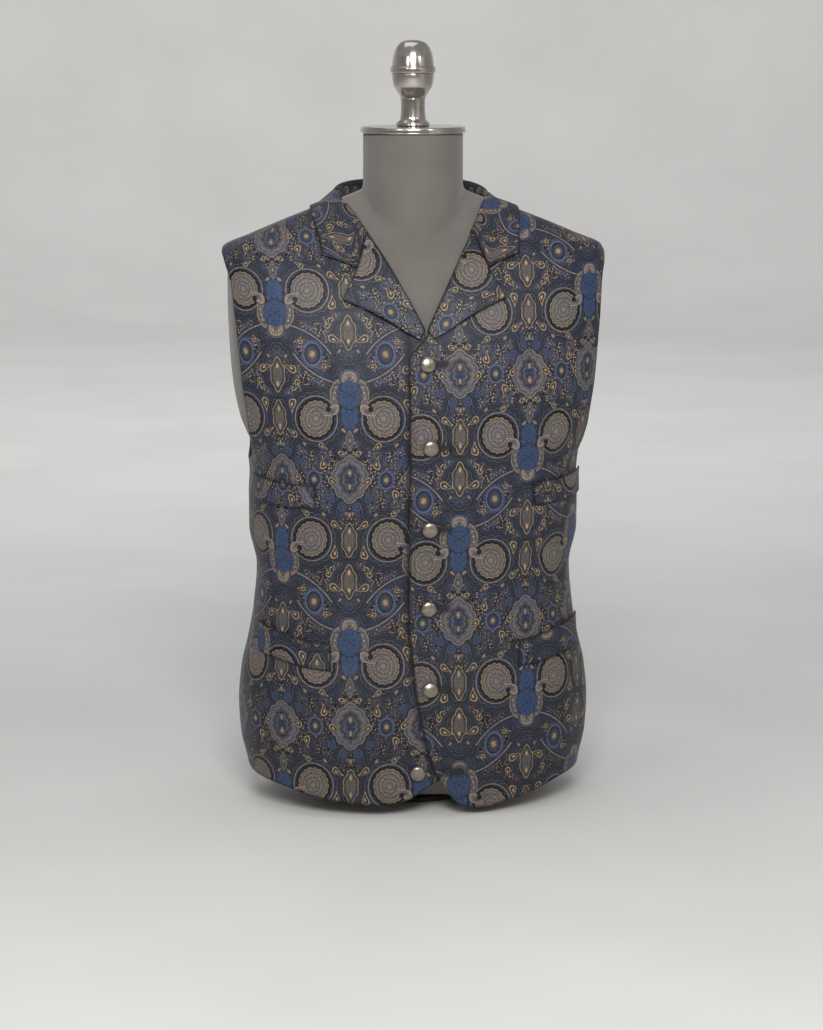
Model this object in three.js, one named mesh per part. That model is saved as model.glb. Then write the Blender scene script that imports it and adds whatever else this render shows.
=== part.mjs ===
// Brocade vest on a limbless dress form.
// Millimetres, +Z up. The front faces -Y and the wearer's left is +X.
// The origin is the middle of the form's foot, on the surface that it stands on.
import * as THREE from 'three';

// Cloth and clearances
const FRONT_CLOTH = 2.0;
const BACK_CLOTH = 1.6;
const COLLAR_CLOTH = 2.0;
const WELT_CLOTH = 2.2;
const SEAM_GAP = 0.3;
const HALF_SEAM = SEAM_GAP / 2;

// Main heights and widths
const SHOULDER_TIP_HEIGHT = 612;
const NECK_POINT_HEIGHT = 663;
const NAPE_HEIGHT = 655;
const UNDERARM_HEIGHT = 379;
const SEAM_Y = 8;
const SIDE_HEM_HEIGHT = 41;
const BACK_HEM_HEIGHT = 34;
const BREAK_HEIGHT = 503;
const OVERLAP = 18.8;
const HEM_MIDDLE = { x: 100, share: 0.4 };
const ROLL_INSET = 1.2;
const UNDERLAP_DROP = FRONT_CLOTH + 2 * SEAM_GAP;
const UNDERLAP_FADE = { from: -64, to: -36 };
// What lies on a panel also clears the flats between the panel's grid points
const LAID_GAP = 0.75;
const LAID_ON = COLLAR_CLOTH + LAID_GAP;

// Outline of the worn vest, one row for each height: half width at the side,
// depth to the front, depth to the back, and how far the form stays inside the cloth
const BODY = [
  { z: -20, halfWidth: 178, front: 115, back: 107, ease: 13 },
  { z: 0, halfWidth: 181, front: 117, back: 109, ease: 13 },
  { z: 40, halfWidth: 184.5, front: 119, back: 111, ease: 12 },
  { z: 75, halfWidth: 192, front: 119, back: 111, ease: 11 },
  { z: 110, halfWidth: 194, front: 118, back: 108, ease: 9 },
  { z: 150, halfWidth: 190.5, front: 115, back: 103, ease: 7 },
  { z: 180, halfWidth: 183.5, front: 112, back: 98, ease: 6 },
  { z: 216, halfWidth: 177, front: 110, back: 94, ease: 6 },
  { z: 262, halfWidth: 173, front: 109, back: 91, ease: 6 },
  { z: 306, halfWidth: 181, front: 113, back: 95, ease: 6 },
  { z: 345, halfWidth: 181, front: 117, back: 101, ease: 6 },
  { z: 366, halfWidth: 180, front: 118.5, back: 104, ease: 6 },
  { z: 387, halfWidth: 182, front: 120, back: 108, ease: 6 },
  { z: 405, halfWidth: 190, front: 121, back: 110, ease: 6 },
  { z: 425, halfWidth: 198, front: 121, back: 113, ease: 6 },
  { z: 468, halfWidth: 207, front: 119, back: 117, ease: 6 },
  { z: 512, halfWidth: 212, front: 113, back: 116, ease: 5.5 },
  { z: 555, halfWidth: 216, front: 101, back: 112, ease: 5 },
  { z: 590, halfWidth: 215, front: 85, back: 105, ease: 4.6 },
  { z: 612, halfWidth: 207, front: 69, back: 96, ease: 4.2 },
  { z: 625, halfWidth: 178, front: 58, back: 88, ease: 3.9 },
  { z: 640, halfWidth: 142, front: 45, back: 79, ease: 3.7 },
  { z: 652, halfWidth: 111, front: 34, back: 69, ease: 3.8 },
  { z: 663, halfWidth: 81, front: 22, back: 62, ease: 3.5 },
  { z: 675, halfWidth: 50, front: 12, back: 50, ease: 3 },
  { z: 690, halfWidth: 30, front: 8, back: 26, ease: 3 },
];
const ROUNDNESS = 2.4;

// Largest folds of the cloth: a soft trough or ridge from one point to another,
// by the distance round the body from the front's middle, and the height
const FOLDS = [
  { side: 1, from: [205, 300], to: [120, 268], width: 9, depth: -2.6 },
  { side: 1, from: [212, 262], to: [150, 246], width: 8, depth: -2.2 },
  { side: 1, from: [192, 470], to: [128, 392], width: 12, depth: -2.0 },
  { side: 1, from: [168, 20], to: [150, 150], width: 17, depth: -3.0 },
  { side: 1, from: [90, 2], to: [104, 128], width: 15, depth: -1.8 },
  { side: -1, from: [210, 286], to: [138, 262], width: 9, depth: -2.8 },
  { side: -1, from: [206, 246], to: [160, 236], width: 8, depth: -1.8 },
  { side: -1, from: [190, 452], to: [120, 380], width: 12, depth: -2.2 },
  { side: -1, from: [160, 22], to: [140, 140], width: 17, depth: -2.6 },
  { side: -1, from: [74, 4], to: [92, 116], width: 14, depth: -1.8 },
  { side: 1, from: [300, 300], to: [380, 262], width: 11, depth: -2.6 },
  { side: 1, from: [320, 20], to: [345, 170], width: 20, depth: -3.0 },
  { side: 1, from: [290, 560], to: [350, 470], width: 14, depth: -2.0 },
  { side: -1, from: [296, 288], to: [372, 254], width: 11, depth: -2.4 },
  { side: -1, from: [330, 24], to: [352, 160], width: 20, depth: -2.6 },
  { side: -1, from: [288, 548], to: [356, 458], width: 14, depth: -2.2 },
];
// Mean radius that turns the distances above into angles
const FOLD_RADIUS = 158;

// Front edges from the hem's corner up to the break, across and up. The left front is
// cut away below its last buttonhole and the right one reaches on under it
const FRONT_EDGE = {
  left: [[26, 22], [15, 38], [4, 62.5], [-4.7, 97], [-10.7, 130], [-15.5, 175], [-OVERLAP, 215]],
  right: [[14, 42], [17, 62.5], [18.2, 97], [OVERLAP, 130], [OVERLAP, 175], [OVERLAP, 215]],
};
const STRAIGHT_EDGE = [300, 400, BREAK_HEIGHT];
// Roll line of the lapel, above the break
const ROLL_LINE = [
  { x: -OVERLAP, z: BREAK_HEIGHT },
  { x: 0, z: 525 },
  { x: 13.5, z: 551 },
  { x: 27, z: 576 },
  { x: 39, z: 598 },
  { x: 56, z: 628 },
  { x: 67.5, z: 645 },
];
const HEM = {
  left: [[36, 13.5], [50, 8.8], [67, 8.8], [90, 14], [121, 21.5], [153, 31]],
  right: [
    [-6, 36], [4, 30], [14, 22.7], [31, 15.7], [53, 13.7],
    [80, 16.5], [106.5, 19.5], [130, 24], [154, 31],
  ],
};

// Back neckline from the nape to the neck point
const BACK_NECKLINE = [
  { x: 26, z: 656.8 },
  { x: 44, z: 659.5 },
  { x: 64, z: 660.5 },
  { x: 77, z: 661.6 },
];

// Armhole from the underarm to the shoulder tip, front and back, in side view
const ARMHOLE = [
  { z: UNDERARM_HEIGHT, front: SEAM_Y, back: SEAM_Y },
  { z: 381.5, front: -8, back: 20 },
  { z: 390, front: -27, back: 35 },
  { z: 406, front: -44, back: 50 },
  { z: 430, front: -54, back: 62 },
  { z: 468, front: -56, back: 68 },
  { z: 512, front: -54, back: 68 },
  { z: 555, front: -48, back: 63 },
  { z: 585, front: -36, back: 52 },
  { z: 602, front: -20, back: 36 },
  { z: SHOULDER_TIP_HEIGHT, front: SEAM_Y, back: SEAM_Y },
];

// Lapel and collar, by the wearer's left side
const GORGE_TOP = { x: 57, z: 628 };
const NOTCH = { x: 71, z: 594 };
const LAPEL_TIP = { x: 87.5, z: 561 };
const LAPEL_FOOT = { x: 2, z: 523 };
const LAPEL_FOOT_WIDTH = 5;
const LAPEL_LOWER_EDGE = [[7, 520], [20, 526.5], [44, 541], [66, 552]];
// The lapel stands off most along its upper part and dips a little across its middle
const LAPEL_SPRING = 1.2;
const LAPEL_SPRING_RISE = 3;
const LAPEL_DIP = 0.5;
const LAPEL_MARGIN = 5;
const NOTCH_CLEARANCE = 1;
// Rows from the notch to the centre back; a null depth means on the front itself
const COLLAR_OUTER = [
  { x: 106, y: null, z: 606 },
  { x: 109, y: -26, z: 633 },
  { x: 110, y: 8, z: 651 },
  { x: 104, y: 42, z: 651 },
  { x: 76, y: 71, z: 645 },
  { x: 40, y: 84, z: 637 },
  { x: 0, y: 87.5, z: 633 },
];
const COLLAR_FOLD = [
  { x: 57, y: null, z: 628 },
  { x: 67.5, y: null, z: 645 },
  { x: 80, y: 7, z: 666.5 },
  { x: 79, y: 33, z: 673 },
  { x: 66.5, y: 52.5, z: 678 },
  { x: 43, y: 65.5, z: 680.5 },
  { x: 0, y: 73.5, z: 681.5 },
];
const COLLAR_SEAM = [
  { x: 57, y: null, z: 628 },
  { x: 67.5, y: null, z: 645 },
  { x: 79, y: 7, z: 665 },
  { x: 77, y: 31, z: 663.4 },
  { x: 64, y: 49, z: 662 },
  { x: 42, y: 60.5, z: 661 },
  { x: 0, y: 67, z: 656.5 },
];
// Shares of the way from the notch to the centre back where the lip turns into a stand,
// and where the fall starts to bulge
const STANDING = { from: 0.2, over: 0.2 };
const BULGING = { from: 0.4, over: 0.3 };
const FOLD_HALF_WIDTH = 2.8;
const FOLD_DROP = 3;
const LIP_REACH = 2.4;
const LIP_DEPTH = 0.6;
const LIP_EDGE = 0.3;
const LIP_RISE = { edge: 0.45, crown: 0.85 };
const LIP_CROWN = 0.4;
const FALL_CLEARANCE = 0.8;
const FALL_BULGE = 4;

// Pocket welts by the wearer's left side: rows from the inner end to the outer end
const UPPER_WELT = [
  { x: 117, top: 364.5, bottom: 339 },
  { x: 138, top: 364.5, bottom: 338.5 },
  { x: 158, top: 367, bottom: 340 },
  { x: 176.5, top: 370.5, bottom: 343.5 },
];
const LOWER_WELT = [
  { x: 102, top: 191, bottom: 162 },
  { x: 128, top: 194.5, bottom: 164.5 },
  { x: 153, top: 201.5, bottom: 170 },
  { x: 174, top: 208, bottom: 176 },
];
const WELT_GAPE = 1.4;
const WELT_GAPE_SPAN = { from: 0.1, to: 0.8 };

// Buttons
const BUTTON_RADIUS = 8.6;
const BUTTON_DOME = 4.2;
const BUTTON_RIM = 1.5;
const SHANK_RADIUS = 2.2;
const SHANK_LENGTH = 2.4;
const BUTTONS = [
  { x: 0.5, z: 494, tilt: 0 },
  { x: 3.0, z: 405.5, tilt: 3 },
  { x: 3.0, z: 316.5, tilt: -2 },
  { x: 2.5, z: 229.5, tilt: 2 },
  { x: 3.4, z: 141.5, tilt: -3 },
  { x: -10.4, z: 50.5, tilt: 9 },
];

// Dress form
const NECK_RADIUS = { side: 54, front: 55, back: 53 };
const NECK_BLEND = 5;
const NECK_BLEND_HEIGHTS = { none: 573, from: 590, over: 60 };
const NECK_TOP_ROUND = 1.5;
const NECK_TOP = 733;
const ARM_PLATE_X = 202;
const ARM_PLATE_BLEND = 5;
const BACK_SHOULDER_EASE = 1.5;
const BACK_SHOULDER_RISE = 200;
const FORM_BASE = 6.3;
// The form's lower end rounds inwards: height and how far it is drawn in there
const FORM_ROUNDING = [
  { z: FORM_BASE, inward: 66 },
  { z: 8.5, inward: 52 },
  { z: 16, inward: 33 },
  { z: 28, inward: 17 },
  { z: 44, inward: 6.5 },
  { z: 62, inward: 1.5 },
  { z: 80, inward: 0 },
];
const FOOT = { halfWidth: 66, halfDepth: 52, height: 6, round: 1.5 };
const CAP = { radius: 57, height: 7, round: 2.2, chamfer: 1 };
// Finial: radius and height above its own base, through flange, stem, cup, ring and knob
const FINIAL = [
  [0, 0],
  [17.6, 0],
  [18, 1.6],
  [17.4, 4],
  [14.6, 6.2],
  [13.6, 10],
  [13, 20],
  [13.2, 29.4],
  [14.6, 32.4],
  [18.4, 38.4],
  [20.8, 43],
  [22.2, 50],
  [22.8, 56],
  [24.2, 58],
  [24.2, 62],
  [22.6, 64],
  [22.2, 69],
  [21, 76],
  [18.4, 83.4],
  [14.6, 88.4],
  [9.6, 91],
  [0, 92],
];

// Colours from the photograph
const BROCADE = { color: 0x2f3346, roughness: 0.55, metalness: 0.0 };
const BACK_SATIN = { color: 0x17181f, roughness: 0.45, metalness: 0.0 };
const PEWTER = { color: 0x8d8a87, roughness: 0.38, metalness: 0.9 };
const FORM_JERSEY = { color: 0x6b6764, roughness: 0.85, metalness: 0.0 };
const CHROME = { color: 0xa7a5a3, roughness: 0.25, metalness: 1.0 };
const FOOT_PAINT = { color: 0x1d1b1a, roughness: 0.6, metalness: 0.0 };

const clamp01 = (t) => Math.min(1, Math.max(0, t));
const smooth = (t) => clamp01(t) ** 2 * (3 - 2 * clamp01(t));
const mix = (a, b, t) => a + (b - a) * t;
const softMax = (a, b, k) => (a + b + Math.hypot(a - b, k)) / 2;
const softMin = (a, b, k) => (a + b - Math.hypot(a - b, k)) / 2;

// A smooth curve through a table's column that never swings past its rows
function column(rows, key) {
  const slopes = rows.slice(1).map((row, i) => (row[key] - rows[i][key]) / (row.z - rows[i].z));
  const tangents = rows.map((row, i) => {
    if (i === 0) return slopes[0];
    if (i === rows.length - 1) return slopes[slopes.length - 1];
    const before = slopes[i - 1];
    const after = slopes[i];
    return before * after <= 0 ? 0 : (2 * before * after) / (before + after);
  });
  return (z) => {
    const clamped = Math.min(rows[rows.length - 1].z, Math.max(rows[0].z, z));
    let i = 0;
    while (i < rows.length - 2 && clamped > rows[i + 1].z) i += 1;
    const span = rows[i + 1].z - rows[i].z;
    const t = (clamped - rows[i].z) / span;
    const rise = t * t * (3 - 2 * t);
    const leave = t * (1 - t) * (1 - t) * span;
    const arrive = t * t * (t - 1) * span;
    return mix(rows[i][key], rows[i + 1][key], rise) + tangents[i] * leave + tangents[i + 1] * arrive;
  };
}
const halfWidthAt = column(BODY, 'halfWidth');
const frontAt = column(BODY, 'front');
const backAt = column(BODY, 'back');
const easeAt = column(BODY, 'ease');

// Distance from the axis to the worn cloth. The angle is 0 at the front's middle,
// a quarter turn at the wearer's left side and half a turn at the back's middle
function bodyRadius(angle, z) {
  const across = Math.abs(Math.sin(angle)) / halfWidthAt(z);
  const depth = Math.cos(angle) > 0 ? frontAt(z) : backAt(z);
  const along = Math.abs(Math.cos(angle)) / depth;
  return (across ** ROUNDNESS + along ** ROUNDNESS) ** (-1 / ROUNDNESS);
}
function polar(angle, radius, z) {
  return new THREE.Vector3(radius * Math.sin(angle), -radius * Math.cos(angle), z);
}
function bodyPoint(angle, z) {
  return polar(angle, bodyRadius(angle, z), z);
}
const PROBE_ANGLE = 0.004;
const PROBE_HEIGHT = 0.6;
function bodyNormal(angle, z) {
  const round = bodyPoint(angle + PROBE_ANGLE, z).sub(bodyPoint(angle - PROBE_ANGLE, z));
  const up = bodyPoint(angle, z + PROBE_HEIGHT).sub(bodyPoint(angle, z - PROBE_HEIGHT));
  return round.cross(up).normalize();
}
// The angle of a point of the front or back, given across and up
function angleAcross(x, z, back = false) {
  const depth = back ? backAt(z) : frontAt(z);
  const reach = Math.min(1, Math.abs(x) / halfWidthAt(z));
  const y = depth * (1 - reach ** ROUNDNESS) ** (1 / ROUNDNESS);
  return Math.atan2(x, back ? -y : y);
}
// The angle of a point of the wearer's left side, given fore-and-aft and up
function angleBeside(y, z) {
  const depth = y < 0 ? frontAt(z) : backAt(z);
  const reach = Math.min(1, Math.abs(y) / depth);
  const x = halfWidthAt(z) * (1 - reach ** ROUNDNESS) ** (1 / ROUNDNESS);
  return Math.atan2(x, -y);
}

// How far the folds move the cloth in or out
function foldLift(angle, z) {
  const turned = Math.atan2(Math.sin(angle), Math.cos(angle));
  let lift = 0;
  for (const fold of FOLDS) {
    const round = fold.side * turned * FOLD_RADIUS;
    const along = [fold.to[0] - fold.from[0], fold.to[1] - fold.from[1]];
    const reach = Math.hypot(...along);
    const t = ((round - fold.from[0]) * along[0] + (z - fold.from[1]) * along[1]) / reach ** 2;
    const offset = ((round - fold.from[0]) * along[1] - (z - fold.from[1]) * along[0]) / reach;
    if (t < 0 || t > 1) continue;
    lift += fold.depth * Math.sin(Math.PI * clamp01(t)) * Math.exp(-((offset / fold.width) ** 2));
  }
  return lift;
}
function skinPoint(angle, z, lift) {
  return bodyPoint(angle, z).addScaledVector(bodyNormal(angle, z), lift + foldLift(angle, z));
}

const ARC_DIVISIONS = 400;
// A smooth boundary curve on the body through places given by angle and height
function boundary(places) {
  const points = places.map((place) => (place.isVector3 ? place : bodyPoint(...place)));
  const curve = new THREE.CatmullRomCurve3(points, false, 'centripetal');
  curve.arcLengthDivisions = ARC_DIVISIONS;
  return (t) => curve.getPointAt(clamp01(t));
}
function joined(first, second, share) {
  return (t) => (t <= share ? first(t / share) : second((t - share) / (1 - share)));
}
// A patch of cloth between four boundaries, as an angle and a height for each u and v
function patch(bottom, top, start, end) {
  const low = [bottom(0), bottom(1)];
  const high = [top(0), top(1)];
  return (u, v) => {
    const ruled = bottom(u).lerp(top(u), v).add(start(v).lerp(end(v), u));
    const corners = low[0].clone().lerp(low[1], u).lerp(high[0].clone().lerp(high[1], u), v);
    const place = ruled.sub(corners);
    return [Math.atan2(place.x, -place.y), place.z];
  };
}
function mirroredTo(side, map) {
  return (u, v) => {
    const [angle, z] = map(u, v);
    return [side * angle, z];
  };
}

// A closed wall from an outer and an inner grid of points
function wall(outer, inner) {
  const rows = outer.length;
  const columns = outer[0].length;
  const positions = [];
  for (const grid of [outer, inner]) {
    for (const row of grid) {
      for (const p of row) positions.push(p.x, p.y, p.z);
    }
  }
  const at = (layer, i, j) => layer * rows * columns + i * columns + j;
  const indices = [];
  const quad = (a, b, c, d) => indices.push(a, b, c, a, c, d);
  for (let i = 0; i < rows - 1; i += 1) {
    for (let j = 0; j < columns - 1; j += 1) {
      quad(at(0, i, j), at(0, i, j + 1), at(0, i + 1, j + 1), at(0, i + 1, j));
      quad(at(1, i, j), at(1, i + 1, j), at(1, i + 1, j + 1), at(1, i, j + 1));
    }
  }
  const rim = [];
  for (let j = 0; j < columns - 1; j += 1) rim.push([0, j]);
  for (let i = 0; i < rows - 1; i += 1) rim.push([i, columns - 1]);
  for (let j = columns - 1; j > 0; j -= 1) rim.push([rows - 1, j]);
  for (let i = rows - 1; i > 0; i -= 1) rim.push([i, 0]);
  rim.forEach(([i, j], k) => {
    const [i2, j2] = rim[(k + 1) % rim.length];
    quad(at(0, i2, j2), at(0, i, j), at(1, i, j), at(1, i2, j2));
  });
  return solid(positions, indices);
}
// A closed body with its faces turned outwards
function solid(positions, indices) {
  const geometry = new THREE.BufferGeometry();
  geometry.setAttribute('position', new THREE.Float32BufferAttribute(positions, 3));
  let volume = 0;
  const corner = (i) => new THREE.Vector3().fromArray(positions, 3 * indices[i]);
  for (let i = 0; i < indices.length; i += 3) {
    volume += corner(i).dot(corner(i + 1).cross(corner(i + 2)));
  }
  geometry.setIndex(volume > 0 ? indices : indices.slice().reverse());
  geometry.computeVertexNormals();
  return geometry;
}
// Cloth lying on the body: map gives angle and height, lift its distance from the outline
function bodyCloth(map, columns, rows, lift, thickness) {
  const outer = [];
  const inner = [];
  for (let i = 0; i <= rows; i += 1) {
    outer.push([]);
    inner.push([]);
    for (let j = 0; j <= columns; j += 1) {
      const u = j / columns;
      const v = i / rows;
      const [angle, z] = map(u, v);
      const height = lift(u, v, angle, z);
      outer[i].push(skinPoint(angle, z, height));
      inner[i].push(skinPoint(angle, z, height - thickness));
    }
  }
  return wall(outer, inner);
}
// Cloth of even thickness to one side of a grid of points
function freeCloth(grid, thickness) {
  const last = grid.length - 1;
  const end = grid[0].length - 1;
  const inner = grid.map((row, i) => row.map((p, j) => {
    const across = row[Math.min(end, j + 1)].clone().sub(row[Math.max(0, j - 1)]);
    const along = grid[Math.min(last, i + 1)][j].clone().sub(grid[Math.max(0, i - 1)][j]);
    return p.clone().addScaledVector(across.cross(along).normalize(), thickness);
  }));
  return wall(grid, inner);
}

function mesh(name, geometry, finish) {
  const made = new THREE.Mesh(geometry, new THREE.MeshStandardMaterial(finish));
  made.name = name;
  return made;
}
const sideName = (side) => (side > 0 ? 'left' : 'right');

// Fronts: side is 1 for the wearer's left front, which laps over, and -1 for the right
const FRONT_COLUMNS = 14;
const FRONT_ROWS = 26;
const BREAK_ROW = 18;
const UNDERARM_ROW = 14;
const SEAM_POINTS = 8;
function frontEdge(side) {
  const rows = [...FRONT_EDGE[sideName(side)], ...STRAIGHT_EDGE.map((z) => [-side * OVERLAP, z])];
  return boundary(rows.map(([x, z]) => [angleAcross(side * x, z), z]));
}
function rollLine(inset) {
  const points = ROLL_LINE.map(({ x, z }) => [angleAcross(x + inset, z), z]);
  points.push([angleBeside(SEAM_Y - HALF_SEAM, NECK_POINT_HEIGHT), NECK_POINT_HEIGHT]);
  return boundary(points);
}
// A seam that runs down the body in one upright plane across it
function uprightSeam(gap, from, to) {
  const points = [];
  for (let k = 0; k <= SEAM_POINTS; k += 1) {
    const z = mix(from, to, k / SEAM_POINTS);
    points.push([angleBeside(SEAM_Y + gap, z), z]);
  }
  return boundary(points);
}
const sideSeam = (gap) => uprightSeam(gap, SIDE_HEM_HEIGHT, UNDERARM_HEIGHT);
const shoulderSeam = (gap) => uprightSeam(gap, NECK_POINT_HEIGHT, SHOULDER_TIP_HEIGHT);
function armhole(face, gap) {
  return boundary(ARMHOLE.map((row) => [angleBeside(row[face] + gap, row.z), row.z]));
}
// Every front is laid out as a left one and then turned to its side
function frontMap(side) {
  const edge = frontEdge(side);
  const start = joined(edge, rollLine(ROLL_INSET), BREAK_ROW / FRONT_ROWS);
  const end = joined(
    sideSeam(-HALF_SEAM),
    armhole('front', -HALF_SEAM),
    UNDERARM_ROW / FRONT_ROWS,
  );
  const hem = HEM[sideName(side)].map(([x, z]) => [angleAcross(x, z), z]);
  const bottom = boundary([start(0), ...hem, end(0)]);
  return patch(bottom, shoulderSeam(-HALF_SEAM), start, end);
}
function front(side) {
  const map = frontMap(side);
  const turned = mirroredTo(side, map);
  const drop = (u, v, angle, z) => {
    if (side > 0) return 0;
    const x = bodyPoint(angle, z).x;
    const share = (x - UNDERLAP_FADE.from) / (UNDERLAP_FADE.to - UNDERLAP_FADE.from);
    return -UNDERLAP_DROP * smooth(share);
  };
  const geometry = bodyCloth(turned, FRONT_COLUMNS, FRONT_ROWS, drop, FRONT_CLOTH);
  return mesh(`front_${sideName(side)}`, geometry, BROCADE);
}

// Backs, which meet at the centre back seam
const BACK_COLUMNS = 12;
const BACK_ROWS = 26;
const NECK_COLUMN = 5;
function back(side) {
  const seam = (z) => [Math.PI - HALF_SEAM / backAt(z), z];
  const shares = [0, 0.25, 0.5, 0.75, 1];
  const start = boundary(shares.map((t) => seam(mix(BACK_HEM_HEIGHT, NAPE_HEIGHT, t))));
  const end = joined(
    sideSeam(HALF_SEAM),
    armhole('back', HALF_SEAM),
    UNDERARM_ROW / BACK_ROWS,
  );
  const neckPoint = [angleBeside(SEAM_Y + HALF_SEAM, NECK_POINT_HEIGHT), NECK_POINT_HEIGHT];
  const neckline = boundary([
    start(1),
    ...BACK_NECKLINE.map(({ x, z }) => [angleAcross(x, z, true), z]),
    neckPoint,
  ]);
  const top = joined(neckline, shoulderSeam(HALF_SEAM), NECK_COLUMN / BACK_COLUMNS);
  const hemMiddle = mix(BACK_HEM_HEIGHT, SIDE_HEM_HEIGHT, HEM_MIDDLE.share);
  const bottom = boundary([start(0), [angleAcross(HEM_MIDDLE.x, hemMiddle, true), hemMiddle], end(0)]);
  const map = patch(bottom, top, start, end);
  const turned = mirroredTo(side, map);
  const geometry = bodyCloth(turned, BACK_COLUMNS, BACK_ROWS, () => 0, BACK_CLOTH);
  return mesh(`back_${sideName(side)}`, geometry, BACK_SATIN);
}

// Lapels: from the roll line out to the edge, springing a little off the front
const LAPEL_COLUMNS = 8;
const LAPEL_ROWS = 10;
function lapel(side) {
  const spot = (x, z) => [angleAcross(x, z), z];
  const lowest = LAPEL_FOOT.z + LAPEL_MARGIN;
  const highest = GORGE_TOP.z - LAPEL_MARGIN;
  const roll = ROLL_LINE.filter((row) => row.z > lowest && row.z < highest);
  const start = boundary([
    spot(LAPEL_FOOT.x, LAPEL_FOOT.z + LAPEL_FOOT_WIDTH),
    ...roll.map((row) => spot(row.x, row.z)),
    spot(GORGE_TOP.x, GORGE_TOP.z),
  ]);
  const end = boundary([...LAPEL_LOWER_EDGE.map(([x, z]) => spot(x, z)), spot(LAPEL_TIP.x, LAPEL_TIP.z)]);
  const notch = spot(NOTCH.x - NOTCH_CLEARANCE, NOTCH.z);
  const top = boundary([start(1), notch, spot(LAPEL_TIP.x, LAPEL_TIP.z)]);
  const bottom = boundary([start(0), end(0)]);
  const map = patch(bottom, top, start, end);
  const turned = mirroredTo(side, map);
  const lift = (u, v) => {
    const dip = 1 - LAPEL_DIP * u * (1 - u);
    return LAID_ON + LAPEL_SPRING * smooth(v * LAPEL_SPRING_RISE) * dip;
  };
  const geometry = bodyCloth(turned, LAPEL_COLUMNS, LAPEL_ROWS, lift, COLLAR_CLOTH);
  return mesh(`lapel_${sideName(side)}`, geometry, BROCADE);
}

// Collar: stand, fold and fall in one piece, from notch to notch round the neck
const COLLAR_STEPS = 14;
const FALL_ROWS = 6;
const NOTCH_FADE = 0.16;
const NOTCH_ROW = 2;
function spaceCurve(rows) {
  const points = rows.map(({ x, y, z }) => {
    if (y !== null) return new THREE.Vector3(x, y, z);
    return skinPoint(angleAcross(x, z), z, 0);
  });
  return new THREE.CatmullRomCurve3(points, false, 'centripetal');
}
// Keeps a point of the fall clear of the cloth under it
const CLEARING_PASSES = 4;
function clearOfBody(p, clearance) {
  for (let pass = 0; pass < CLEARING_PASSES; pass += 1) {
    const angle = Math.atan2(p.x, -p.y);
    const face = bodyNormal(angle, p.z);
    const gap = p.clone().sub(bodyPoint(angle, p.z)).dot(face);
    if (gap < clearance) p.addScaledVector(face, clearance - gap);
  }
  return p;
}
function offset(p, ...moves) {
  return moves.reduce((sum, [direction, distance]) => sum.addScaledVector(direction, distance), p.clone());
}
function collar() {
  const fold = spaceCurve(COLLAR_FOLD);
  const seam = spaceCurve(COLLAR_SEAM);
  const outerEdge = spaceCurve(COLLAR_OUTER);
  const notch = skinPoint(angleAcross(NOTCH.x, NOTCH.z), NOTCH.z, LAID_ON + LAPEL_SPRING);
  const up = new THREE.Vector3(0, 0, 1);
  const notching = [];
  const half = [];
  for (let i = 0; i <= COLLAR_STEPS; i += 1) {
    const t = i / COLLAR_STEPS;
    const crest = fold.getPoint(t);
    const low = seam.getPoint(t);
    const out = new THREE.Vector3(crest.x, crest.y, 0).normalize();
    const face = bodyNormal(Math.atan2(crest.x, -crest.y), Math.min(crest.z, NECK_POINT_HEIGHT));
    const away = fold.getTangent(t).cross(face).normalize();
    if (away.dot(out) > 0) away.negate();
    const lip = [
      offset(crest, [away, LIP_REACH], [face, -LIP_DEPTH]),
      offset(crest, [away, LIP_REACH + LIP_EDGE], [face, LIP_EDGE]),
      offset(crest, [away, LIP_REACH], [face, LAID_ON * LIP_RISE.edge]),
      offset(crest, [away, LIP_REACH / 2], [face, LAID_ON * LIP_RISE.crown]),
      offset(crest, [face, LAID_ON + LIP_CROWN]),
    ];
    const shoulder = offset(crest, [up, -FOLD_DROP]);
    const stand = [
      low,
      low.clone().lerp(shoulder, 0.5),
      shoulder,
      offset(crest, [out, FOLD_HALF_WIDTH]),
      offset(crest, [out, 2 * FOLD_HALF_WIDTH], [up, -FOLD_DROP]),
    ];
    const standing = smooth((t - STANDING.from) / STANDING.over);
    const bulging = smooth((t - BULGING.from) / BULGING.over);
    const row = lip.map((p, k) => p.lerp(stand[k], standing));
    const start = row[row.length - 1];
    const edge = outerEdge.getPoint(t);
    for (let k = 1; k <= FALL_ROWS; k += 1) {
      const w = k / FALL_ROWS;
      const p = start.clone().lerp(edge, w);
      p.addScaledVector(out, FALL_BULGE * Math.sin(Math.PI * w) * bulging);
      if (i === 0) {
        const cut = k <= NOTCH_ROW
          ? start.clone().lerp(notch, k / NOTCH_ROW)
          : notch.clone().lerp(edge, (k - NOTCH_ROW) / (FALL_ROWS - NOTCH_ROW));
        notching.push(cut.sub(p));
      }
      p.addScaledVector(notching[k - 1], Math.max(0, 1 - t / NOTCH_FADE));
      row.push(clearOfBody(p, LAID_ON + FALL_CLEARANCE));
    }
    half.push(row);
  }
  const mirrored = half.slice(0, -1).map((row) => row.map((p) => new THREE.Vector3(-p.x, p.y, p.z)));
  const grid = [...mirrored, ...half.slice().reverse()];
  return mesh('collar', freeCloth(grid, COLLAR_CLOTH), BROCADE);
}

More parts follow.
